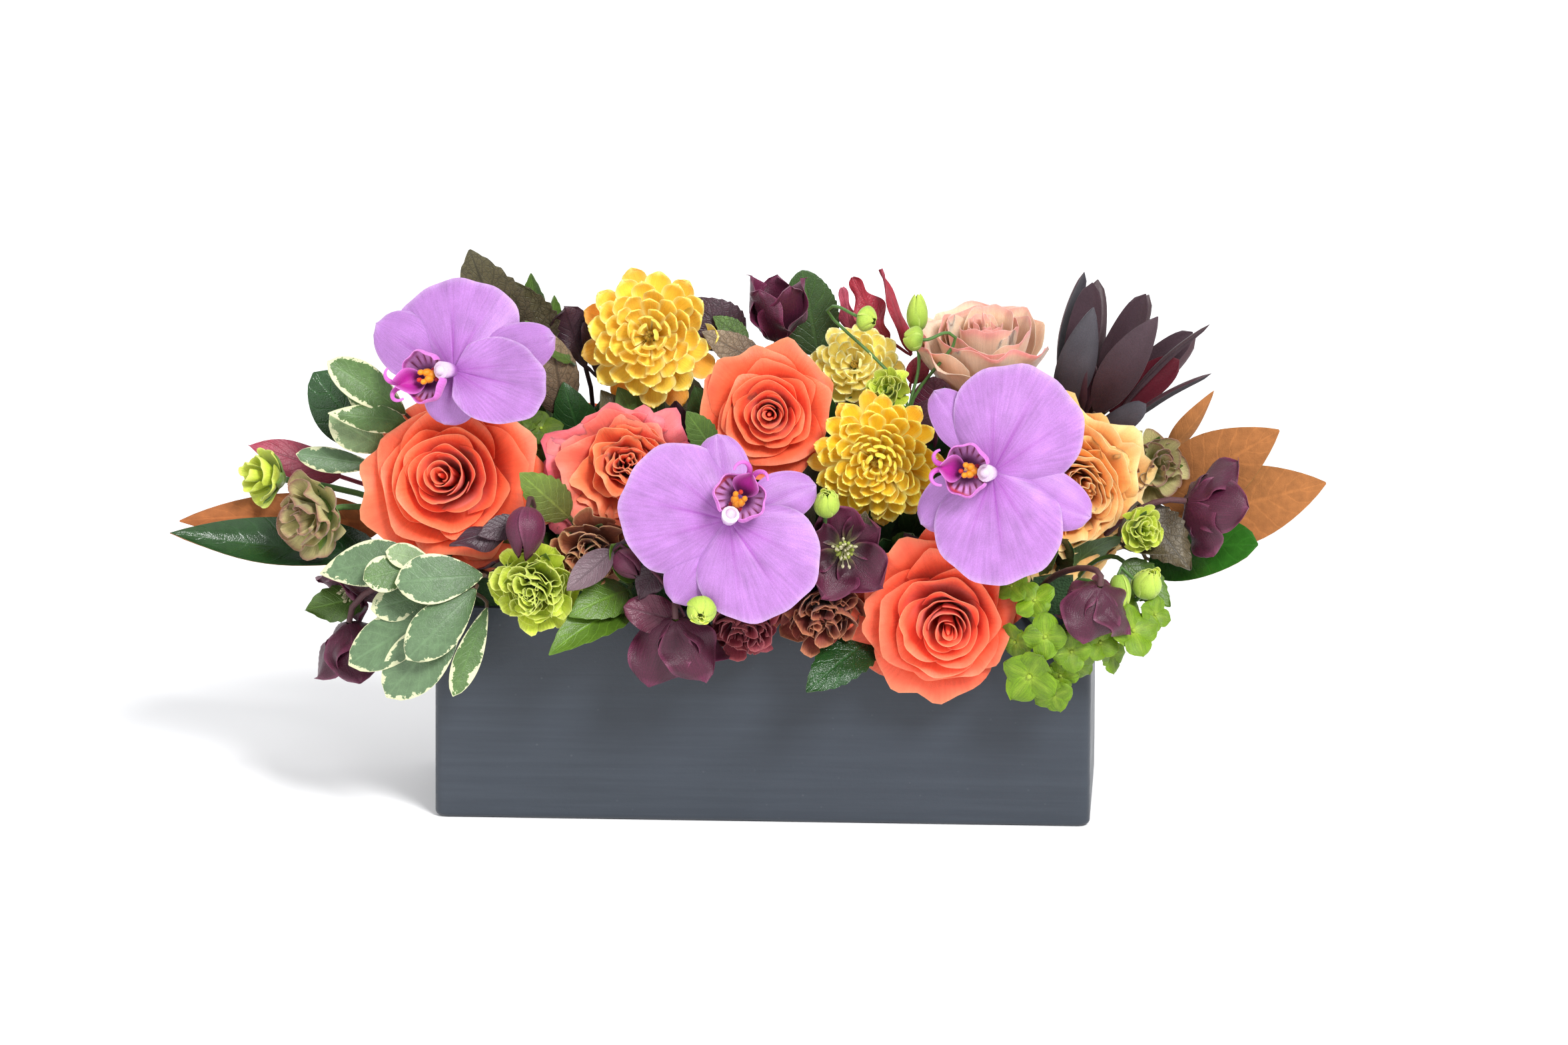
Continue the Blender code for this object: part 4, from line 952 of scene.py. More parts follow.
def hellebore(work, centre, radius, turn, tilt, seed, sepals, cup):
    """A hellebore. sepals are (angle, length, width) in parts of its radius, cup is how far they close."""
    draw = np.random.default_rng(seed)
    right, up, front = facing(turn, tilt)
    centre = np.array(centre, float)
    for number, (angle, length, width) in enumerate(sepals):
        way = right * math.cos(math.radians(angle)) + up * math.sin(math.radians(angle))
        base = centre - front * radius * 0.30 + way * radius * 0.06
        tip = centre + way * radius * length + front * radius * (cup + draw.normal(0, 0.08) - 0.25)
        grid = blade(base, tip, front - way * 0.2, radius * width, broad, bow=-radius * 0.10, curl=0.55,
                     ripple=0.24, phase=draw.uniform(0, 6), rows=17, columns=13, twist=draw.normal(0, 0.18))
        u, v = patch(grid)
        tint = blend_tint(wine_dark, wine_light, ease(u, 0.1, 0.9) * draw.uniform(0.3, 0.9))
        edge = ease(np.maximum(np.abs(v), u), 0.86, 1.0) * 0.6
        tint = blend_tint(tint, wine_rim, edge)
        tint = blend_tint(tint, screen(150, 150, 92), (1.0 - ease(u, 0.0, 0.16)) * 0.7)
        work.sheet(grid, tint, thick=0.5, under=blend_tint(wine_back, wine_rim, edge), seed=seed + number)
    heart = centre - front * radius * 0.22
    for number in range(nectary_count):
        bearing = 2 * math.pi * number / nectary_count
        out = right * math.cos(bearing) + up * math.sin(bearing)
        path = [heart + out * radius * (0.08 + 0.09 * s) + front * radius * (0.02 + 0.16 * s) for s in (0, 0.5, 1.0)]
        work.rod(path, radius * np.array([0.03, 0.05, 0.035]), nectary_green, sides=6)
    for number in range(stamen_count):
        bearing, lean = draw.uniform(0, 2 * math.pi), draw.uniform(0.02, 0.34)
        out = right * math.cos(bearing) + up * math.sin(bearing)
        end = heart + out * radius * lean + front * radius * draw.uniform(0.30, 0.52)
        path = [heart + (end - heart) * s for s in (0.0, 0.4, 0.8, 0.9, 1.0)]
        work.rod(path, radius * np.array([0.008, 0.008, 0.008, 0.035, 0.02]), stamen_cream, sides=5)


def bud(work, foot, tip, radius, tints, seed, wraps=4):
    """A closed bud: petals that wrap round each other from foot to tip."""
    draw = np.random.default_rng(seed)
    foot, tip = np.asarray(foot, float), np.asarray(tip, float)
    way = tip - foot
    length = np.linalg.norm(way)
    way = way / length
    side = np.cross(way, (0.2, 0.3, 0.93))
    side /= np.linalg.norm(side)
    deep = np.cross(way, side)
    u, v = np.linspace(0, 1, 12)[:, None], np.linspace(-1, 1, 11)[None, :]
    for number in range(wraps):
        bearing = 2 * math.pi * number / wraps + 1.15 * v * (1.0 - 0.55 * u ** 3)
        swell = radius * np.sin(math.pi * (0.10 + 0.84 * u ** 0.85)) ** 0.75 * (1.0 + 0.05 * v + 0.02 * number)
        reach = u * (1.0 - 0.10 * np.abs(v) ** 2) * length * draw.uniform(0.95, 1.02)
        grid = foot + reach[..., None] * way + (swell * np.cos(bearing))[..., None] * side \
            + (swell * np.sin(bearing))[..., None] * deep
        grid = grid[:, ::-1]
        edge = ease(np.abs(v) + 0 * u, 0.8, 1.0) * 0.7
        tint = blend_tint(blend_tint(tints[0], tints[1], u + 0 * v), tints[2], edge)
        work.sheet(grid, tint, seed=seed + number)


stalk_plum = screen(96, 58, 62)
full_face = ((90, 1.0, 0.56), (18, 1.0, 0.56), (-54, 1.0, 0.56), (-126, 1.0, 0.56), (162, 1.0, 0.56))
upright_face = ((90, 0.5, 0.52), (18, 0.62, 0.52), (-54, 0.55, 0.56), (-126, 0.62, 0.54), (162, 0.6, 0.54))
nodding_face = ((-52, 0.8, 0.62), (-128, 0.85, 0.58), (168, 0.95, 0.5), (22, 0.6, 0.5), (90, 0.6, 0.5))
for name, centre, radius, turn, tilt, hole, seed, sepals, more in (
    ("hellebore_left", (-194, -32, 103), 17, -50, -30, (foam_left, -30), 2,
     ((150, 1.0, 0.55), (80, 0.8, 0.5), (10, 0.7, 0.45), (220, 1.0, 0.5), (290, 0.9, 0.5)), {"cup": 0.5}),
    ("hellebore_drooping", (-192, -40, 84), 24, 150, -76, (-136, foam_front), 4, nodding_face, {"cup": 1.0}),
    ("hellebore_bottom", (-39, -84, 101), 25, 180, -62, (-40, foam_front), 6, nodding_face, {"cup": 1.0}),
    ("hellebore_centre", (39, -82, 140), 23, 10, 5, (44, foam_front), 8,
     ((100, 0.95, 0.52), (30, 0.85, 0.48), (-45, 1.05, 0.56), (-118, 1.05, 0.56), (172, 0.95, 0.5)), {"cup": 0.30}),
    ("hellebore_back", (3, 22, 219), 22, 0, 82, (0, 12), 10, upright_face, {"cup": 1.35}),
    ("hellebore_right", (202, -20, 148), 24, 112, -18, (foam_right, -16), 12, full_face, {"cup": 0.75}),
    ("hellebore_low_right", (155, -80, 119), 23, 215, -62, (128, foam_front), 14, nodding_face, {"cup": 0.8}),
):
    work = Gathering()
    hellebore(work, centre, radius, turn, tilt, seed, sepals, **more)
    front = facing(turn, tilt)[2]
    stem(work, hole, np.array(centre) - front * radius * 0.32, front, 1.5, stalk_plum)
    work.make(name + "_bloom", [wine_sepal], "wine_petal", name)

bud_tints = (screen(112, 40, 74), screen(84, 24, 52), screen(142, 74, 104))
for name, foot, tip, radius, hole, seed in (
    ("hellebore_bud_left", (-108, -78, 157), (-110, -88, 135), 8.6, (-98, foam_front), 3),
    ("hellebore_bud_centre", (-66, -82, 137), (-56, -90, 129), 6.0, (-62, foam_front), 5),
):
    work = Gathering()
    bud(work, foot, tip, radius, bud_tints, seed)
    stem(work, hole, foot, np.subtract(tip, foot), 1.1, stalk_plum)
    work.make(name + "_bloom", [wine_sepal], "wine_petal", name)

# The ruffled blooms: lime double lisianthus and its buds, faded lisianthus, and rust, brown and
# burgundy carnations. Their petals are gathered at the foot and frilled along the rim.
ruffled_petal = petal_finish("ruffled_petal", veins=40.0, vein_depth=0.22, cell=0.5, cell_depth=0.08, rough=0.55,
                             relief=0.45, through=0.3, pale=0.85)


def ruffled(work, centre, radius, turn, tilt, seed, tones, petals, frills, fringe, calyx):
    """A ruffled double bloom. tones are its depth, its petals and its rim; frills is how wavy the rim is."""
    draw = np.random.default_rng(seed)
    deep, body, rim = tones
    rows, columns = 9, 27
    u, v = np.linspace(0, 1, rows)[:, None], np.linspace(-1, 1, columns)[None, :]
    for number in range(petals):
        t = (number + 0.5) / petals
        ring = radius * (0.10 + 0.88 * t ** 0.8)
        half = math.radians(95.0 - 38.0 * t) * draw.uniform(0.9, 1.15)
        bearing = golden_angle * number + draw.normal(0, 0.2) + half * v
        top = radius * (0.60 - 0.95 * t ** 1.7 + draw.normal(0, 0.05))
        foot = -0.70 * radius
        s = u * (1.0 - 0.22 * np.abs(v) ** 3)
        wave = draw.uniform(0, 6.28, 4)
        frilled = ease(s, 0.35, 1.0) * radius * frills
        r = ring * (1.0 - (1.0 - s) ** 1.7) + 0.6
        r = r + frilled * (0.15 * np.sin(4.2 * v + wave[0]) + 0.08 * np.sin(9 * v + wave[1] + 2 * s))
        z = foot + (top - foot) * s ** 0.9
        z = z + frilled * (0.13 * np.sin(5.2 * v + wave[2]) + 0.06 * np.sin(11 * v + wave[3]))
        r = r + fringe * radius * 0.03 * np.sin(41 * v + wave[0]) * ease(s, 0.8, 1.0)
        side = frilled * 0.10 * np.sin(11 * v + wave[1])
        x = r * np.cos(bearing) - side * np.sin(bearing)
        y = r * np.sin(bearing) + side * np.cos(bearing)
        grid = np.stack([x, y, np.clip(z, -0.75 * radius, 0.66 * radius)], -1)
        shade = 1.0 + draw.normal(0, 0.10)
        # Partly painted light: each petal is darker towards its foot, deep in the bloom, partly its own colour and
        # partly painted shade, and its paler rim is partly its own colour and partly a painted highlight.
        tint = blend_tint(deep, body, ease(s, 0.25, 0.75)) * shade
        tint = blend_tint(tint, rim, ease(s, 0.80, 0.97) * 0.9)
        work.sheet(stand(grid, centre, turn, tilt), tint, thick=0.4, under=tint * 0.95, seed=number + seed)
    right, up, front = facing(turn, tilt)
    centre = np.array(centre, float)
    path = [centre + front * radius * (-0.85 + 0.14 * step) for step in range(5)]
    work.rod(path, radius * np.array([0.12, 0.30, 0.40, 0.36, 0.16]), calyx, sides=10, slot=1)
    for number in range(5):
        bearing = 2 * math.pi * number / 5
        out = right * math.cos(bearing) + up * math.sin(bearing)
        base, tip = centre - front * radius * 0.75, centre + out * radius * 0.85 - front * radius * 0.15
        grid = blade(base, tip, front + out * 0.2, radius * 0.22, slender, bow=-radius * 0.12, curl=0.7,
                     rows=8, columns=5)
        work.sheet(grid, calyx, thick=0.5, under=calyx * 1.1, seed=number, slot=1)


# Ruffled tones: depth (partly painted shade), petals, and rim (partly a painted highlight).
lime_tones = (screen(188, 212, 56), screen(212, 228, 76), screen(232, 242, 124))
faded_tones = (screen(172, 176, 96), screen(192, 182, 126), screen(150, 100, 94))
brown_tones = (screen(112, 50, 34), screen(172, 100, 70), screen(222, 172, 120))
rust_tones = (screen(88, 28, 26), screen(138, 58, 50), screen(196, 128, 92))
burgundy_tones = (screen(92, 18, 36), screen(142, 42, 62), screen(192, 100, 108))
calyx_green = screen(118, 150, 62)
for name, centre, radius, turn, tilt, hole, seed, tones, petals, frills, fringe, slot_name in (
    ("lime_bloom_front", (-105, -86, 121), 20, -8, 4, (-112, foam_front), 3, lime_tones, 24, 1.1, 0.5, "lime_petal"),
    ("lime_bloom_left", (-236, -12, 153), 15, -62, 14, (foam_left, -6), 5, lime_tones, 8, 0.35, 0.0, "lime_petal"),
    ("lime_bloom_right", (176, -46, 142), 11, 25, 10, (foam_right, -24), 7, lime_tones, 12, 0.9, 0.3, "lime_petal"),
    ("lisianthus_left", (-213, -35, 140), 20, -35, 0, (-138, -22), 9, faded_tones, 11, 0.9, 0.2, "faded_petal"),
    ("lisianthus_right", (180, -4, 161), 18, 20, 15, (136, 6), 11, faded_tones, 10, 0.9, 0.2, "faded_petal"),
    ("ruffle_brown", (-79, -70, 133), 18, -5, -5, (-80, foam_front), 13, brown_tones, 15, 1.2, 0.6, "rust_petal"),
    ("ruffle_burgundy", (-8, -74, 102), 18, 0, -20, (-8, foam_front), 15, burgundy_tones, 17, 1.2, 0.7, "rust_petal"),
    ("ruffle_rust", (28, -72, 107), 21, 0, -15, (20, foam_front), 17, rust_tones, 19, 1.2, 0.7, "rust_petal"),
):
    work = Gathering()
    ruffled(work, centre, radius, turn, tilt, seed, tones, petals, frills, fringe, calyx_green)
    front = facing(turn, tilt)[2]
    stem(work, hole, np.array(centre) - front * radius * 0.8, front, 1.5, stalk_green, slot=1)
    work.make(name + "_bloom", [ruffled_petal, green_stalk], slot_name, name)

lime_bud_tints = (screen(140, 176, 58), screen(196, 220, 88), screen(214, 234, 120))
for name, foot, tip, radius, hole, seed in (
    ("lime_bud_centre", (30, -82, 158), (31, -90, 170), 5.6, (26, -34), 3),
    ("lime_bud_bottom", (-26, -108, 120), (-26, -119, 117), 6.4, (-26, foam_front), 5),
    ("lime_bud_right", (176, -56, 114), (181, -62, 127), 6.4, (foam_right, -32), 7),
):
    work = Gathering()
    bud(work, foot, tip, radius, lime_bud_tints, seed, wraps=5)
    if name == "lime_bud_right":
        bud(work, (165, -62, 125), (167, -66, 109), 4.6, lime_bud_tints, 9)
        second_stalk = [foot, (172, -58, 122), (166, -60, 128), (165, -62, 125)]
        work.rod(second_stalk, np.full(4, 0.9), stalk_green, sides=6, slot=1)
    opening = np.array(tip) * 0.75 + np.array(foot) * 0.25
    ruffled(work, opening, radius * 0.72, 0, 5, seed, lime_tones, 9, 1.0, 0.2, calyx_green)
    stem(work, hole, foot, np.subtract(tip, foot), 1.1, stalk_green, slot=1)
    work.make(name + "_bloom", [ruffled_petal, green_stalk], "lime_petal", name)

# The hydrangea: round heads of small florets, each of four broad green sepals with pale veins
# round a bead of a bud, on thin green stalks.
green_sepal = petal_finish("green_sepal", veins=12.0, vein_depth=0.30, cell=0.6, cell_depth=0.08, rough=0.5,
                           relief=0.4, through=0.15, pale=0.78)
sepal_green = screen(118, 156, 8)
sepal_deep = screen(76, 114, 8)
sepal_pale = screen(170, 198, 60)


def hydrangea_floret(work, centre, radius, face, spin, draw, shade):
    """Four sepals and a bead, facing face. shade darkens it."""
    face = unit(face)
    side = unit(np.cross(face, (0.13, 0.21, 0.97)))
    high = np.cross(face, side)
    for number in range(4):
        bearing = spin + math.pi / 2 * number + draw.normal(0, 0.08)
        out = side * math.cos(bearing) + high * math.sin(bearing)
        base = centre + out * radius * 0.05
        tip = centre + out * radius * draw.uniform(0.9, 1.08) + face * radius * draw.uniform(-0.05, 0.22)
        grid = blade(base, tip, face, radius * 0.52, broad, bow=radius * 0.05, curl=-0.3, ripple=0.14,
                     phase=draw.uniform(0, 6), rows=9, columns=7)
        u, v = patch(grid)
        tint = blend_tint(sepal_pale, sepal_green, ease(u, 0.0, 0.22))
        tint = blend_tint(tint, sepal_deep, (1 - ease(np.abs(v), 0.0, 0.9)) * 0.35 * ease(u, 0.2, 0.5))
        tint = blend_tint(tint, sepal_pale, 0.35 * np.exp(-(v / 0.07) ** 2) * (1 - ease(u, 0.6, 1.0)))
        tint = tint * shade * draw.uniform(0.88, 1.08)
        work.sheet(grid, tint, thick=0.5, under=sepal_green * 0.8 * shade, seed=number + spin)
    t = np.linspace(-0.9, 0.9, 5)
    path = [centre + face * radius * (0.06 + 0.08 * s) for s in t]
    work.rod(path, radius * 0.09 * np.sqrt(1 - t ** 2), sepal_pale, sides=6)


loose_florets = (
    (132, -88, 102, 11), (125, -88, 83, 14.5), (144, -84, 94, 10), (172, -72, 101, 13.5), (127, -80, 117, 10),
    (136, -84, 73, 10), (157, -78, 97, 9.5), (139, -82, 82, 9), (116, -74, 122, 9), (182, -62, 106, 9),
    (150, -70, 108, 11), (162, -66, 88, 9), (118, -76, 96, 11), (166, -58, 112, 11), (146, -66, 82, 10),
)
for name, heart, reach, outward, count, small, large, hole, seed, shade in (
    ("hydrangea_right", (140, -58, 98), (34, 24, 24), -1, len(loose_florets), 9, 14, (108, foam_front), 3, 1.0),
    ("hydrangea_left", (-110, -22, 172), (9, 7, 12), -1, 9, 7, 10, (-94, -10), 5, 0.42),
    ("hydrangea_rear", (-8, 54, 132), (29, 24, 29), 1, 28, 10, 14, (-8, 26), 7, 0.85),
):
    work = Gathering()
    draw = np.random.default_rng(seed)
    heart = np.array(heart, float)
    for number in range(count):
        depth = 1.0 - 1.4 * (number + 0.5) / count
        around = golden_angle * number
        flat = math.sqrt(1.0 - depth ** 2)
        way = np.array([flat * math.cos(around), outward * depth, flat * math.sin(around)])
        spot = heart + way * np.array(reach, float) * draw.uniform(0.76, 1.12)
        size = draw.uniform(small, large)
        if name == "hydrangea_right":
            spot, size = np.array(loose_florets[number][:3], float), loose_florets[number][3]
            way = unit(spot - heart)
        toward = way + np.array([draw.normal(0, 0.25), 0.5 * outward, 0.2 + draw.normal(0, 0.25)])
        hydrangea_floret(work, spot, size, toward, draw.uniform(0, 1.5), draw, shade)
        t = np.linspace(0, 1, 5)[:, None]
        foot = heart - (spot - heart) * 0.1
        path = foot + (spot - foot) * t - np.array([0, 0, 3.0]) * t * (1 - t) * 4
        work.rod(path, np.full(5, 0.7), sepal_deep, sides=5)
    stem(work, hole, heart - (0, 0, 6.0), (0, 0, 1), 2.0, stalk_green, slot=1)
    work.make(name + "_bloom", [green_sepal, green_stalk], "green_sepal", name)

# The loose leaves: serrated green, brown and olive ones, thin red ones and a dark glossy one. Each
# has a midrib and side veins, a waxy upper side and a duller underside, and a stalk of its own.


def obovate(u):
    """Widest towards its round tip, narrow at its foot."""
    return 0.08 * (1 - u) + np.sin(math.pi * u ** 1.4) ** 0.6


def lobed(u):
    """A narrow foot and two pairs of round lobes."""
    return (0.10 + 0.9 * np.sin(math.pi * u ** 0.9) ** 0.7) * (0.72 + 0.28 * np.cos(4.0 * math.pi * u))


def rim_distance(grid):
    """How far each point lies from the leaf's edge, in millimetres."""
    edge = np.concatenate([grid[:, 0], grid[:, -1], grid[-1]])
    return np.linalg.norm(grid[:, :, None, :] - edge[None, None, :, :], axis=3).min(axis=2)


def leaf(work, base, tip, half_width, face, tones, outline=ovate, seed=0, thick=0.6, **shape):
    """One leaf. tones are its colour at the foot, at the tip and underneath."""
    shape.setdefault("rows", 4 * shape["teeth"] if shape.get("teeth") else 16)
    shape.setdefault("columns", 11)
    grid = blade(base, tip, face, half_width, outline, phase=seed * 1.7, **shape)
    foot, end, under = tones
    tint = blend_tint(foot, end, ease(patch(grid)[0], 0.0, 0.9))
    work.sheet(grid, tint, thick=thick, under=under, seed=rim_distance(grid))


def leaf_finish(name, ribs, slant, vein_light, rough, back_rough, network=0.0, margin=False, relief=0.5):
    """A leaf's surface: a midrib, side veins that lean to the tip and a fine network between them.

    margin gives it a jagged cream edge.
    """
    made = new_finish(name)
    tint = knot(made, "ShaderNodeAttribute", attribute_name="tint")
    grain = knot(made, "ShaderNodeAttribute", attribute_name="grain")
    place = knot(made, "ShaderNodeTexCoord").outputs["Object"]
    split = knot(made, "ShaderNodeSeparateXYZ", {"Vector": grain.outputs["Vector"]})
    away = reckon(made, "ABSOLUTE", split.outputs["Y"])
    along = reckon(made, "MULTIPLY_ADD", split.outputs["X"], ribs, noise(made, place, 90.0, 3.0))
    repeat = reckon(made, "PINGPONG", reckon(made, "MULTIPLY_ADD", away, -slant, along), 0.5)
    side_veins = ranged(made, repeat, 0.02, 0.10, 0.75, 0.0)
    midrib = ranged(made, away, 0.03, 0.09, 1.0, 0.0)
    meshes = knot(made, "ShaderNodeTexVoronoi", {"Vector": place, "Scale": 420.0}, feature="DISTANCE_TO_EDGE")
    threads = ranged(made, meshes.outputs["Distance"], 0.02, 0.09, network, 0.0)
    lines = reckon(made, "MAXIMUM", reckon(made, "MAXIMUM", side_veins, midrib), threads)
    patchy = ranged(made, noise(made, place, 240.0, 4.0, 0.6), 0.3, 0.7, 0.60, 0.84)
    shade = reckon(made, "MULTIPLY", ranged(made, lines, 0.0, 1.0, 1.0, 1.0 + vein_light), patchy)
    colour = knot(made, "ShaderNodeVectorMath", {0: tint.outputs["Color"], "Scale": shade}, operation="SCALE")
    skin = colour.outputs[0]
    if margin:
        jagged = ranged(made, noise(made, place, 120.0, 5.0, 0.72), 0.44, 0.68, 0.35, 4.6)
        nearer_tip = ranged(made, split.outputs["X"], 0.3, 1.0, 0.35, 1.2)
        inside = reckon(made, "SUBTRACT", reckon(made, "MULTIPLY", jagged, nearer_tip), split.outputs["Z"])
        skin = mixed(made, ranged(made, inside, 0.0, 0.18, 0.0, 1.0), skin, paint(196, 198, 158))
    height = reckon(made, "MULTIPLY_ADD", lines, -0.8, noise(made, place, 1600.0, 1.0))
    surface(made, {
        "Base Color": skin, "Roughness": ranged(made, tint.outputs["Alpha"], 0.0, 1.0, back_rough, rough),
        "Specular IOR Level": 0.4, "Normal": bumps(made, height, relief),
    })
    return made


green_leaf = leaf_finish("green_leaf", ribs=7.0, slant=2.2, vein_light=0.55, rough=0.38, back_rough=0.65, network=0.15)
veined_leaf = leaf_finish("veined_leaf", ribs=6.0, slant=1.8, vein_light=-0.5, rough=0.45, back_rough=0.6, network=0.7)
red_leaf = leaf_finish("red_leaf", ribs=8.0, slant=2.4, vein_light=-0.28, rough=0.4, back_rough=0.5, network=0.2)
glossy_leaf = leaf_finish("glossy_leaf", ribs=5.0, slant=1.4, vein_light=0.5, rough=0.2, back_rough=0.6, network=0.2,
                          relief=0.8)

brown_green = (screen(80, 70, 50), screen(96, 90, 60), screen(86, 80, 60))
fresh_green = (screen(72, 98, 42), screen(92, 124, 54), screen(116, 124, 100))
olive_brown = (screen(96, 76, 60), screen(150, 130, 102), screen(120, 108, 84))
plum_dark = (screen(56, 34, 44), screen(74, 46, 58), screen(84, 58, 68))
deep_green = (screen(42, 64, 32), screen(62, 92, 44), screen(88, 112, 70))
bottle_green = (screen(24, 48, 24), screen(38, 78, 34), screen(80, 108, 60))
leaf_red = (screen(146, 30, 50), screen(176, 48, 66), screen(164, 60, 78))
leaf_rose = (screen(140, 40, 66), screen(184, 78, 100), screen(196, 100, 118))
apple_green = (screen(58, 86, 20), screen(90, 124, 32), screen(96, 128, 48))
spring_green = (screen(96, 96, 44), screen(116, 140, 58), screen(120, 140, 70))
taupe = (screen(70, 58, 42), screen(96, 84, 60), screen(104, 92, 72))
wine_leaf = (screen(86, 30, 52), screen(104, 40, 64), screen(110, 52, 74))
front_on = (0.1, -1, 0.3)
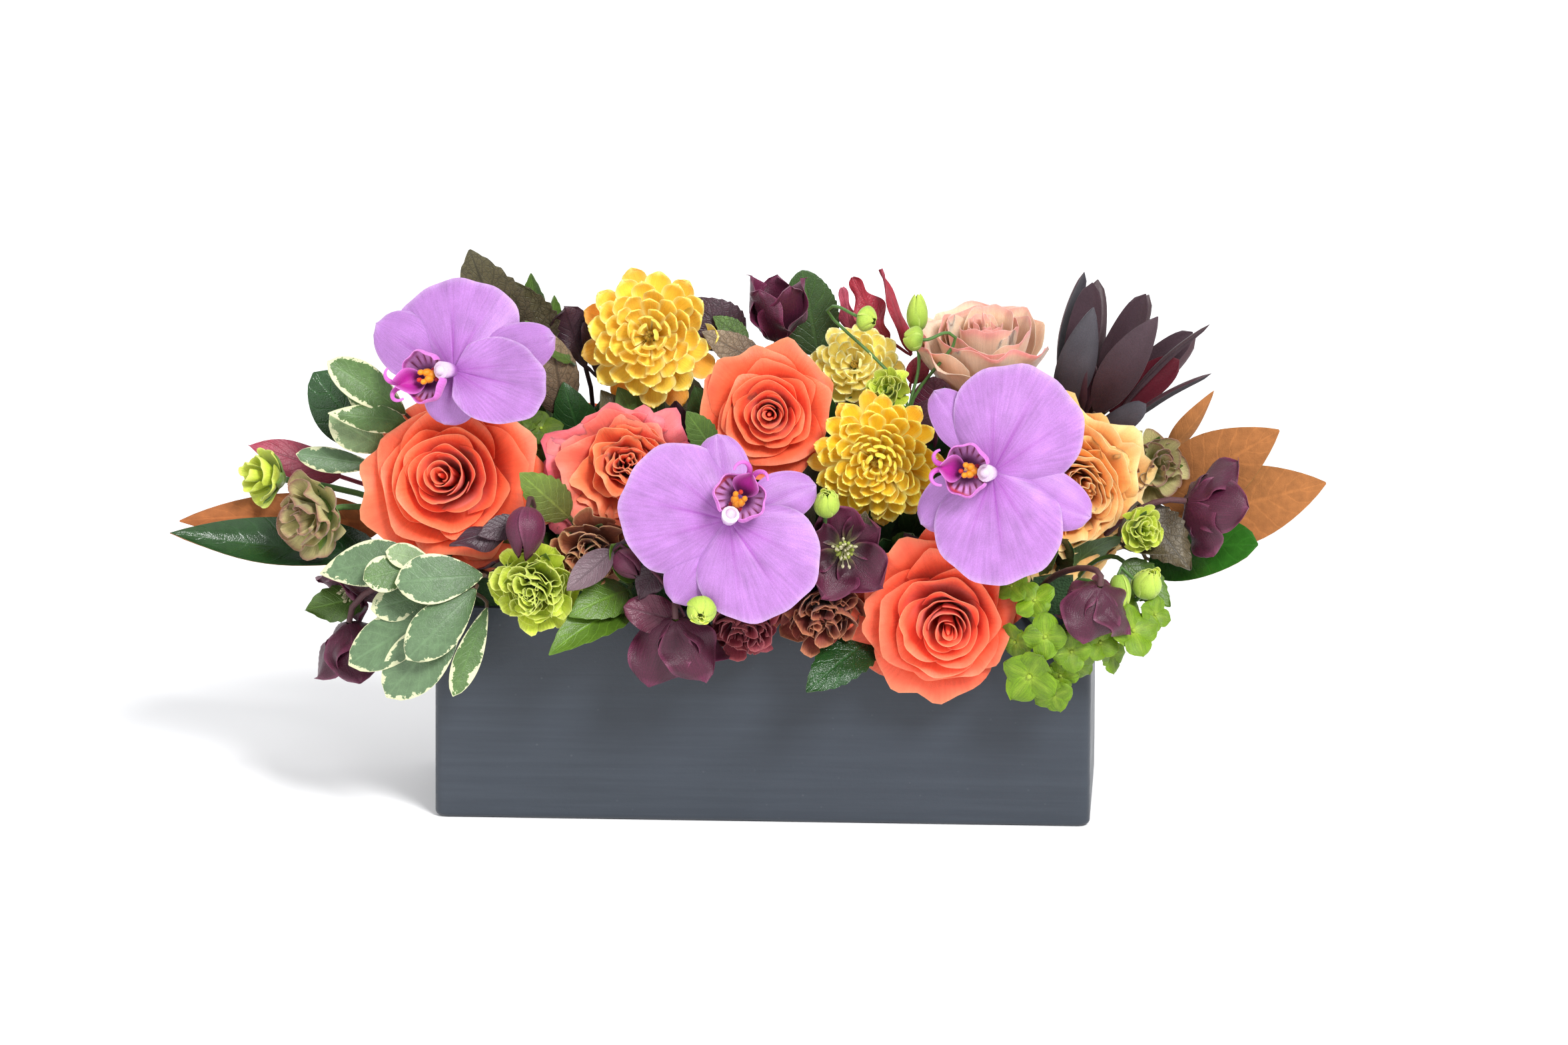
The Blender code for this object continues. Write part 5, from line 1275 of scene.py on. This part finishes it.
for name, hole, finish, slot_name, leaves in (
    ("leaf_brown_top", (-106, 16), veined_leaf, "brown_leaf", (
        ((-119, 15, 206), (-140, 13, 257), 18, (-0.2, -1, 0.1), brown_green, {"teeth": 9, "tooth": 0.16, "bow": 3}),
        ((-108, 15, 206), (-119, 12, 242), 15, (0.5, -1, 0.1), brown_green,
         {"teeth": 8, "tooth": 0.14, "curl": 0.9}))),
    ("leaf_olive", (-88, 12), veined_leaf, "brown_leaf", (
        ((-95, -2, 182), (-101, -9, 223), 12, (0.4, -1, 0.2), olive_brown,
         {"teeth": 7, "tooth": 0.05, "curl": -0.6}),)),
    ("leaf_top_back", (22, 28), green_leaf, "green_leaf", (
        ((22, 36, 203), (14, 38, 243), 13, (0.2, -1, 0.1), deep_green,
         {"teeth": 14, "tooth": 0.06, "outline": broad}),)),
    ("leaf_red_top", (46, 22), red_leaf, "red_leaf", (
        ((54, 24, 212), (38, 26, 243), 8.5, front_on, leaf_red, {"outline": lobed, "rows": 28, "ripple": 0.25}),
        ((66, 21, 208), (51, 22, 248), 4.5, (0.5, -1, 0), leaf_red, {"outline": slender, "twist": 1.3, "ripple": 0.3}),
        ((40, 26, 208), (33, 26, 238), 5.5, (-0.3, -1, 0), leaf_rose, {"outline": lobed, "rows": 28, "ripple": 0.3}))),
    ("leaf_red_left", (foam_left, 10), red_leaf, "red_leaf", (
        ((-200, 8, 148), (-243, 6, 163), 9, (0, -1, 0.8), leaf_rose, {"bow": 2, "ripple": 0.2}),)),
    ("leaf_round_left", (-138, 18), glossy_leaf, "green_leaf", (
        ((-184, 12, 164), (-213, 12, 197), 14, (-0.3, -1, 0.3), bottle_green, {"outline": broad, "bow": 4}),)),
    ("leaf_under_front", (56, foam_front), glossy_leaf, "green_leaf", (
        ((52, -64, 94), (22, -93, 75), 12, (-0.2, -1, 0.5), bottle_green,
         {"teeth": 9, "tooth": 0.12, "ripple": 0.14, "bow": 3}),)),
    ("leaf_front_left", (-94, foam_front), green_leaf, "green_leaf", (
        ((-62, -70, 116), (-88, -91, 109), 10, (0.1, -1, 0.6), apple_green, {"teeth": 6, "tooth": 0.1, "bow": 4}),
        ((-60, -70, 108), (-97, -97, 92), 11, (0.1, -0.8, 0.9), apple_green,
         {"teeth": 6, "tooth": 0.12, "bow": 6, "curl": 0.5}))),
    ("leaf_brown_right", (foam_right, -4), veined_leaf, "brown_leaf", (
        ((174, -24, 148), (198, -37, 121), 12, (0.3, -1, 0.4), taupe, {"teeth": 8, "tooth": 0.18, "ripple": 0.2}),
        ((166, -38, 133), (188, -46, 131), 6, (0, -0.6, 1), taupe, {"teeth": 7, "tooth": 0.12, "curl": 0.8}))),
    ("leaf_rear_left", (-128, 40), green_leaf, "green_leaf", (
        ((-140, 52, 130), (-180, 78, 146), 15, (0, 0.6, 1), deep_green, {"teeth": 12, "tooth": 0.07, "bow": 4}),)),
    ("leaf_rear_middle", (-46, 40), veined_leaf, "brown_leaf", (
        ((-46, 62, 112), (-52, 92, 92), 14, (0, 1, 0.6), olive_brown, {"teeth": 9, "tooth": 0.07, "bow": 4}),)),
    ("leaf_rear_right", (118, 40), green_leaf, "green_leaf", (
        ((128, 54, 126), (162, 84, 132), 15, (0, 0.6, 1), deep_green, {"teeth": 12, "tooth": 0.07, "bow": 4}),)),
    ("leaf_green_top", (-104, 22), green_leaf, "green_leaf", (
        ((-106, 25, 205), (-112, 25, 243), 9, (-0.4, -1, 0.1), fresh_green, {"teeth": 8, "tooth": 0.16, "curl": 0.7}),
        ((-104, 24, 206), (-101, 23, 233), 7, (0.9, -1, 0), fresh_green, {"teeth": 7, "tooth": 0.16, "curl": 0.9}),
        ((-92, -4, 208), (-113, -10, 229), 6, (0.2, -0.6, 1), fresh_green, {"teeth": 8, "tooth": 0.12}))),
    ("leaf_plum_top", (-84, 22), red_leaf, "plum_bract", (
        ((-86, 17, 200), (-96, 15, 229), 12, (0.2, -1, 0.1), plum_dark,
         {"outline": rounded, "bow": -3, "ripple": 0.2}),
        ((-80, 16, 196), (-84, 17, 224), 8, (0.4, -1, 0.1), plum_dark, {"outline": rounded, "ripple": 0.2}))),
    ("leaf_brown_middle", (-14, 20), veined_leaf, "brown_leaf", (
        ((-14, 13, 214), (-38, 9, 236), 12, (-0.2, -1, 0.5), plum_dark, {"teeth": 9, "tooth": 0.08, "bow": 6}),
        ((-2, 5, 205), (-31, -2, 223), 8, (0.2, -1, 0.5), olive_brown, {"teeth": 9, "tooth": 0.07}),
        ((-10, 7, 216), (-26, 3, 229), 6, (0.2, -1, 0.6), fresh_green, {"teeth": 8, "tooth": 0.12}))),
    ("leaf_burgundy", (70, 14), red_leaf, "red_leaf", (
        ((78, -4, 182), (77, -2, 203), 10, (-0.2, -1, 0.2), wine_leaf, {"outline": broad}),
        ((66, 8, 197), (74, 9, 212), 5, (0, -1, 0.2), leaf_red, {}))),
    ("leaf_behind_wine", (56, -36), veined_leaf, "brown_leaf", (
        ((42, -70, 130), (48, -74, 157), 8, (0.3, -1, 0), taupe, {"teeth": 6, "tooth": 0.05, "curl": 0.8}),)),
    ("leaf_serrated_left", (-88, -36), green_leaf, "green_leaf", (
        ((-90, -58, 148), (-112, -71, 172), 10, (-0.1, -1, 0.5), spring_green, {"teeth": 8, "tooth": 0.14}),)),
    ("leaf_low_left", (foam_left, -36), green_leaf, "green_leaf", (
        ((-186, -32, 101), (-214, -36, 95), 10, (0, -1, 0.9), fresh_green,
         {"teeth": 6, "tooth": 0.14, "ripple": 0.15}),
        ((-172, -36, 106), (-196, -42, 110), 7, (0, -1, 0.5), plum_dark, {"ripple": 0.25}))),
    ("leaf_between", (-28, -30), green_leaf, "green_leaf", (
        ((-24, -38, 176), (-36, -46, 196), 7, (0, -1, 0.5), fresh_green, {"teeth": 7, "tooth": 0.12}),)),
    ("leaf_plum_left", (-112, -36), red_leaf, "plum_bract", (
        ((-118, -66, 144), (-144, -78, 139), 7, (0, -0.8, 1), plum_dark, {"ripple": 0.3, "curl": -0.6}),
        ((-112, -68, 148), (-131, -76, 143), 6, (0.3, -1, 0.5), plum_dark, {"teeth": 6, "tooth": 0.1}))),
    ("leaf_grey_centre", (-62, -36), red_leaf, "plum_bract", (
        ((-68, -84, 139), (-89, -93, 122), 7, (-0.3, -1, 0.2), (screen(92, 66, 76), screen(128, 104, 112),
         screen(120, 92, 100)), {"outline": slender, "curl": 0.5}),
        ((-57, -78, 124), (-69, -84, 142), 8, (0.3, -1, 0.2), apple_green, {"outline": broad, "curl": 0.9}),
        ((-38, -84, 106), (-63, -87, 113), 8.5, (0, -1, 0.3), wine_leaf, {"outline": broad, "ripple": 0.2}),
        ((-46, -80, 134), (-56, -86, 116), 7, (0.2, -1, 0), plum_dark, {"ripple": 0.2}))),
    ("leaf_green_right", (foam_right, -28), green_leaf, "green_leaf", (
        ((167, -42, 126), (189, -51, 107), 9, (0.2, -1, 0.4), apple_green,
         {"teeth": 8, "tooth": 0.16, "ripple": 0.15}),)),
):
    work = Gathering()
    for number, (base, tip, half_width, face, tones, shape) in enumerate(leaves):
        leaf(work, base, tip, half_width, face, tones, seed=number + len(name), **shape)
        way = np.subtract(tip, base)
        if number:
            path = curve_between(leaves[0][0], base, (0, 0, 1), way, 7)
            work.rod(path, np.linspace(1.0, 0.7, 7), tones[0], sides=6, slot=1)
        else:
            stem(work, hole, base, way, 1.1, tones[0], slot=1)
    replaced = [name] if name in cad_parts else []
    work.make(name + "_blade", [finish, green_stalk], slot_name, *replaced)

# The sprigs: leucadendron with plum-dark bracts, two of magnolia with leaves that are green above
# and brown suede below, and three of pittosporum with cream edges. Each grows from one twig.
pittosporum_leaf = leaf_finish("pittosporum_leaf", ribs=8.0, slant=2.0, vein_light=0.22, rough=0.42, back_rough=0.6,
                               network=0.5, margin=True, relief=0.35)
magnolia_leaf = leaf_finish("magnolia_leaf", ribs=9.0, slant=1.5, vein_light=0.2, rough=0.22, back_rough=0.92,
                            relief=0.35)
plum_bract = petal_finish("plum_bract", veins=22.0, vein_depth=0.16, cell=0.6, cell_depth=0.12, rough=0.36,
                          sheen=0.05, relief=0.25, pale=0.5)


def even(u):
    """A strap with nearly straight sides, a narrow foot and a blunt tip."""
    return (0.22 + 0.78 * ease(u, 0.0, 0.5)) * (1.0 - u ** 5) ** 0.55


grey_green = (screen(76, 104, 64), screen(102, 130, 92), screen(146, 166, 128))
moss_green = (screen(72, 104, 50), screen(90, 122, 64), screen(148, 170, 106))
pale_green = (screen(116, 142, 92), screen(134, 158, 110), screen(158, 176, 134))
magnolia_green = (screen(34, 84, 26), screen(52, 112, 34), screen(176, 112, 60))
dark_magnolia = (screen(22, 52, 24), screen(42, 76, 36), screen(168, 100, 54))
bract_plum = (screen(72, 46, 52), screen(92, 68, 78), screen(86, 60, 66))
bract_grey = (screen(70, 58, 64), screen(92, 88, 96), screen(96, 62, 70))
bract_red = (screen(96, 20, 36), screen(122, 34, 52), screen(84, 50, 60))
twig_brown = screen(92, 70, 52)
for name, hole, joint, twig_radius, finish, slot_name, leaves in (
    ("pittosporum_upper", (-132, -14), (-162, -16, 168), 1.6, pittosporum_leaf, "grey_leaf", (
        ((-168, -20, 186), (-204, -25, 212), 9.5, (0.1, -1, 0.5), moss_green,
         {"outline": obovate, "bow": 3, "curl": 0.5}),
        ((-167, -24, 183), (-203, -36, 190), 6.5, (0, -1, 0.4), moss_green, {"bow": 2, "curl": -0.5}),
        ((-176, -19, 168), (-203, -24, 186), 9.5, (-0.1, -1, 0.3), pale_green, {"outline": obovate, "bow": 2}),
        ((-182, -17, 160), (-219, -20, 166), 6.5, (0, -1, 0.8), grey_green, {"outline": obovate, "curl": -0.4}),
        ((-168, -10, 176), (-196, -2, 196), 8, (-0.3, -1, 0.6), moss_green, {"outline": obovate}))),
    ("pittosporum_lower", (-124, foam_front), (-142, -64, 118), 1.6, pittosporum_leaf, "grey_leaf", (
        ((-163, -64, 129), (-205, -66, 121), 10.5, (-0.1, -1, 0.5), grey_green, {"outline": ovate, "bow": 2}),
        ((-160, -72, 127), (-184, -79, 122), 8.5, (-0.2, -1, 0.4), moss_green, {"outline": obovate}),
        ((-129, -76, 124), (-169, -84, 122), 11.5, (0, -1, 0.4), grey_green, {"outline": obovate, "bow": 3}),
        ((-152, -70, 113), (-181, -72, 106), 8.5, (-0.1, -1, 0.5), grey_green, {"outline": obovate}),
        ((-142, -72, 108), (-191, -76, 80), 12, (-0.2, -1, 0.5), grey_green, {"outline": obovate, "bow": 4}),
        ((-138, -74, 106), (-173, -84, 67), 13, (0, -1, 0.4), grey_green, {"outline": obovate, "bow": 4}),
        ((-132, -78, 118), (-163, -94, 88), 11.5, (0.2, -1, 0.4), grey_green,
         {"outline": obovate, "bow": 4, "curl": -0.5}),
        ((-127, -74, 108), (-142, -88, 69), 6.5, (0.2, -1, 0.1), moss_green, {"outline": obovate, "curl": 0.4}),
        ((-152, -73, 129), (-174, -73, 134), 6, (0, -1, 0.6), pale_green, {"outline": obovate}))),
    ("pittosporum_rear", (96, 40), (104, 62, 124), 1.6, pittosporum_leaf, "grey_leaf", (
        ((108, 68, 122), (136, 94, 106), 10, (0.2, 1, 0.6), grey_green, {"outline": obovate, "bow": 3}),
        ((102, 70, 120), (100, 98, 90), 10, (0, 1, 0.5), grey_green, {"outline": obovate, "bow": 3}),
        ((98, 68, 124), (70, 94, 102), 10, (-0.2, 1, 0.6), grey_green, {"outline": obovate, "bow": 3}),
        ((106, 64, 126), (142, 74, 140), 9, (0.2, 0.8, 1), moss_green, {"outline": obovate, "bow": 2}),
        ((100, 66, 118), (84, 84, 84), 8, (0, 1, 0.2), grey_green, {"outline": obovate, "bow": 2}))),
    ("magnolia_left", (foam_left, -18), (-168, -18, 122), 2.2, magnolia_leaf, "green_leaf", (
        ((-180, -21, 121), (-278, -20, 127), 14, (0, -1, 0.9), dark_magnolia,
         {"bow": -5, "curl": 0.9, "ripple": 0.06}),
        ((-178, -12, 130), (-274, -13, 131), 12, (0, 1, -0.5), dark_magnolia, {"bow": 4, "curl": 0.5, "sway": 4}))),
    ("magnolia_right", (foam_right, 18), (172, 20, 128), 2.4, magnolia_leaf, "magnolia_leaf", (
        ((186, 24, 162), (207, 29, 190), 6, (-0.4, 1, -0.1), magnolia_green, {"bow": -4, "curl": 0.9, "twist": 0.5}),
        ((183, 15, 140), (238, 4, 178), 17, (-0.1, 1, -0.4), magnolia_green, {"bow": -3, "curl": -0.3}),
        ((190, 18, 130), (260, 15, 150), 18, (0, 1, -0.2), magnolia_green, {"bow": -3, "curl": -0.3}),
        ((178, 14, 112), (229, -16, 128), 16, (0.1, -1, 0.9), magnolia_green, {"outline": broad, "bow": 4}))),
    ("leucadendron", (132, 24), (146, 16, 172), 2.8, plum_bract, "plum_bract", (
        ((135, 23, 190), (146, 30, 246), 7, (0.8, -0.6, 0), bract_grey, {"outline": even, "bow": -5, "curl": 0.9}),
        ((141, 19, 188), (150, 22, 243), 8.5, (0.1, -1, 0.1), bract_plum, {"outline": even, "bow": -3, "curl": 0.6}),
        ((136, 10, 182), (151, 3, 236), 9.5, (0.1, -1, 0.1), bract_grey, {"outline": slender, "bow": 5, "curl": -0.8}),
        ((150, 17, 188), (175, 14, 240), 8, (-0.2, -1, 0.2), bract_plum, {"outline": even, "bow": -3, "curl": 0.6}),
        ((152, 10, 184), (181, 3, 232), 9.5, (-0.1, -1, 0.3), bract_plum, {"outline": slender, "bow": 3, "curl": 0.5}),
        ((160, 20, 188), (197, 18, 221), 7.5, (-0.3, -1, 0.3), bract_plum, {"outline": even, "bow": -2, "curl": 0.5}),
        ((158, 14, 184), (191, 12, 209), 9, (-0.3, -1, 0.4), bract_red, {"outline": even, "bow": -2, "curl": 0.4}),
        ((160, 9, 178), (205, 5, 228), 4, (0.9, -0.6, -0.5), bract_plum, {"outline": even, "bow": -5, "curl": 1.1}),
        ((152, 3, 172), (176, -5, 192), 6.5, (-0.1, -1, 0.4), bract_grey, {"outline": even, "bow": 2, "curl": -0.5}),
        ((156, 8, 168), (206, 7, 204), 5, (0.6, -0.5, -0.8), bract_grey, {"outline": even, "bow": -5, "curl": 1.0}),
        ((152, 26, 184), (176, 44, 232), 7.5, (0.1, 1, 0.2), bract_plum, {"outline": even, "bow": -3, "curl": 0.6}),
        ((146, 28, 184), (152, 48, 238), 7.5, (-0.1, 1, 0.1), bract_plum, {"outline": even, "bow": -3, "curl": 0.6}),
        ((160, 24, 180), (198, 42, 212), 7, (0.3, 1, 0.3), bract_grey, {"outline": even, "bow": -3, "curl": 0.6}))),
):
    work = Gathering()
    joint = np.array(joint, float)
    heading = unit(np.mean([np.array(row[0], float) - joint for row in leaves], axis=0))
    stem(work, hole, joint, heading, twig_radius, twig_brown, slot=1)
    for number, (base, tip, half_width, face, tones, shape) in enumerate(leaves):
        leaf(work, base, tip, half_width, face, tones, seed=number + len(name), thick=0.8, **shape)
        way = np.subtract(tip, base)
        path = curve_between(joint - heading * 3.0, base, heading + unit(way), way, 8)
        work.rod(path, np.linspace(0.6 * twig_radius, 0.9, 8), twig_brown, sides=6, slot=1)
    if name == "leucadendron":
        for number in range(9):
            bearing = golden_angle * number
            lean = 0.18 + 0.05 * number
            out = np.array([math.cos(bearing) * lean, math.sin(bearing) * lean, 1.0]) + heading * 0.6
            tip = joint + unit(out) * (34 + number)
            leaf(work, joint + out * 4, tip, 6, out + heading, bract_red, outline=even, seed=number, curl=0.9, bow=-3)
    work.make(name + "_sprig", [finish, green_stalk], slot_name, name)

# The spray of lime-green lisianthus at the top: one open bloom and three round buds on thin
# stalks that arch over from one stem.
work = Gathering()
joint = np.array([66.0, -4.0, 186.0])
stem(work, (68, 2), joint, (0, 0, 1), 1.3, stalk_green, slot=1)
ruffled(work, (56, -18, 201), 10.5, -4, 30, 21, lime_tones, 12, 1.0, 0.2, calyx_green)
bloom_stalk = curve_between(joint, (57, -12, 192), (0, -0.3, 1), (-0.3, -1, 0.8), 7)
work.rod(bloom_stalk, np.full(7, 1.0), stalk_green, sides=6, slot=1)
for foot, tip, radius, over, seed in (
    ((43, -14, 234), (50, -18, 233), 5.6, (30, -2, 236), 31),
    ((72, -8, 222), (63, -8, 223), 5.4, (84, -2, 224), 33),
    ((69, 2, 224), (69, 0, 242), 4.6, (70, 3, 210), 35),
):
    bud(work, foot, tip, radius, lime_bud_tints, seed, wraps=5)
    foot, over = np.array(foot, float), np.array(over, float)
    first = curve_between(joint, over, (0, 0, 1), foot - over + (0, 0, 6), 8)
    rest = curve_between(over, foot, foot - over + (0, 0, 6), np.array(tip) - foot, 7)[1:]
    work.rod(np.concatenate([first, rest]), np.full(14, 0.8), stalk_green, sides=6, slot=1)
work.make("lime_spray_top_bloom", [ruffled_petal, green_stalk], "lime_petal", "lime_spray_top")

# The greens that hide the foam: leaves pushed in between the blooms, over the top and all along
# the back, so that the arrangement is full from every side. Their dark tones are partly their own
# and partly painted shade for the gaps between the blooms.
greens = Gathering()
draw = np.random.default_rng(77)
green_mixes = (deep_green, bottle_green, brown_green, plum_dark, fresh_green)
keep_clear = (((-84, 58, 150), 40), ((64, 62, 144), 38), ((-8, 54, 132), 32))


def tuck_in(stalk, radii, base, tip, half_width, face, tones, **shape):
    """Adds one small serrated leaf on its stalk, or leaves it out where it would grow through a bloom."""
    for share in (0.35, 0.7, 1.0):
        for heart, reach in keep_clear:
            if np.linalg.norm(base + (tip - base) * share - heart) < reach:
                return
    leaf(greens, base, tip, half_width, face, tones, teeth=6, tooth=0.1, rows=16, columns=7, ripple=0.1, **shape)
    greens.rod(stalk, radii, tones[0], sides=6, slot=1)


for number in range(96):
    row, spot = number % 4, number // 4
    x = -138.0 + 276.0 * (spot + draw.uniform(0.2, 0.8)) / 24.0
    y = (-30.0, -6.0, 16.0, 34.0)[row] + draw.normal(0, 3)
    lean = (-0.75, -0.2, 0.35, 0.95)[row]
    height = (26, 48, 50, 40)[row] * draw.uniform(0.8, 1.2)
    out = unit([x / 150.0 * 0.7 + draw.normal(0, 0.25), lean + draw.normal(0, 0.12), 1.0])
    base = np.array([x, y, 116.0]) + out * 6.0
    face = np.array([draw.normal(0, 0.3), -1.0 if row < 2 else 1.0, 0.7])
    tones = green_mixes[int(draw.integers(0, len(green_mixes)))]
    tuck_in([base - out * 16.0, base - out * 6.0, base + out * 2.0], [1.0, 1.0, 0.8], base, base + out * height,
            draw.uniform(7.5, 11), face, tones, outline=(ovate, broad)[number % 2], seed=number,
            bow=draw.uniform(-4, 4), twist=draw.normal(0, 0.3))
for number in range(48):
    end = (-1.0, 1.0)[number % 2]
    base = np.array([end * (142.0 if number < 36 else 126.0), draw.uniform(-36, 38), 112.0 + draw.uniform(0, 10)])
    if number >= 36:
        base[1] = 22.0 + draw.uniform(0, 16)
    out = unit([end, base[1] / 60.0 + draw.normal(0, 0.25), draw.uniform(0.15, 1.1)])
    tip = base + out * draw.uniform(26, 40)
    tones = green_mixes[int(draw.integers(0, len(green_mixes)))]
    tuck_in([base - out * 8.0 - (end * 6.0, 0, 0), base, base + out * 2.0], [1.0, 0.9, 0.8], base, tip,
            draw.uniform(8, 11), (0.2 * end, draw.normal(0, 0.5), 1.0), tones, seed=number, bow=draw.uniform(0, 5))
for number in range(44):
    x = -126.0 + 250.0 * (number // 2 + draw.uniform(0.2, 0.8)) / 22.0
    row = number % 2
    base = np.array([x, (2.0, 28.0)[row] + draw.normal(0, 3), 150.0 + draw.uniform(0, 18)])
    out = unit([x / 150.0 * 0.5 + draw.normal(0, 0.2), (-0.15, 0.5)[row], 1.0])
    tip = base + out * draw.uniform(30, 40)
    face = np.array([draw.normal(0, 0.3), (-1.0, 1.0)[row], 0.4])
    tones = green_mixes[int(draw.integers(0, len(green_mixes)))]
    stalk = curve_between((x * 0.9, (2.0, 22.0)[row], 108.0), base, (0, 0, 1), out, 7)
    tuck_in(stalk, np.linspace(1.3, 0.9, 7), base, tip, draw.uniform(8, 12), face, tones, seed=number,
            bow=draw.uniform(-3, 4))
for number in range(28):
    end = (-1.0, 1.0)[number % 2]
    base = np.array([end * draw.uniform(96, 140), 38.0, 110.0 + draw.uniform(0, 9)])
    out = unit([end * draw.uniform(-0.3, 0.8), 1.0, draw.uniform(-0.05, 0.8)])
    tip = base + out * draw.uniform(26, 38)
    tones = green_mixes[int(draw.integers(0, len(green_mixes)))]
    tuck_in([base - out * 10.0, base, base + out * 2.0], [1.0, 0.9, 0.8], base, tip, draw.uniform(8, 11),
            (draw.normal(0, 0.3), 0.5, 1.0), tones, outline=(ovate, broad)[number % 3 == 0], seed=number,
            bow=draw.uniform(0, 5))
keep_clear = (((84, -87, 108), 42), ((-8, -74, 102), 21), ((28, -72, 107), 23), ((-105, -86, 121), 23),
              ((39, -82, 140), 22), ((-39, -84, 101), 24), ((-79, -70, 133), 19))
for number in range(40):
    base = np.array([-124.0 + 6.3 * number, -38.0, 113.0 + draw.uniform(0, 7)])
    out = unit([draw.normal(0, 0.35), -1.0, draw.uniform(0.2, 0.7)])
    tip = base + out * draw.uniform(24, 34)
    # Only the four darker mixes at the front: these leaves in the gaps are partly painted shade.
    tones = green_mixes[int(draw.integers(0, 4))]
    tuck_in([base - out * 10.0, base, base + out * 2.0], [1.0, 0.9, 0.8], base, tip, draw.uniform(7, 10),
            (draw.normal(0, 0.3), -0.4, 1.0), tones, seed=number, bow=draw.uniform(0, 4))
greens.make("foam_greens", [green_leaf, green_stalk], "green_leaf")
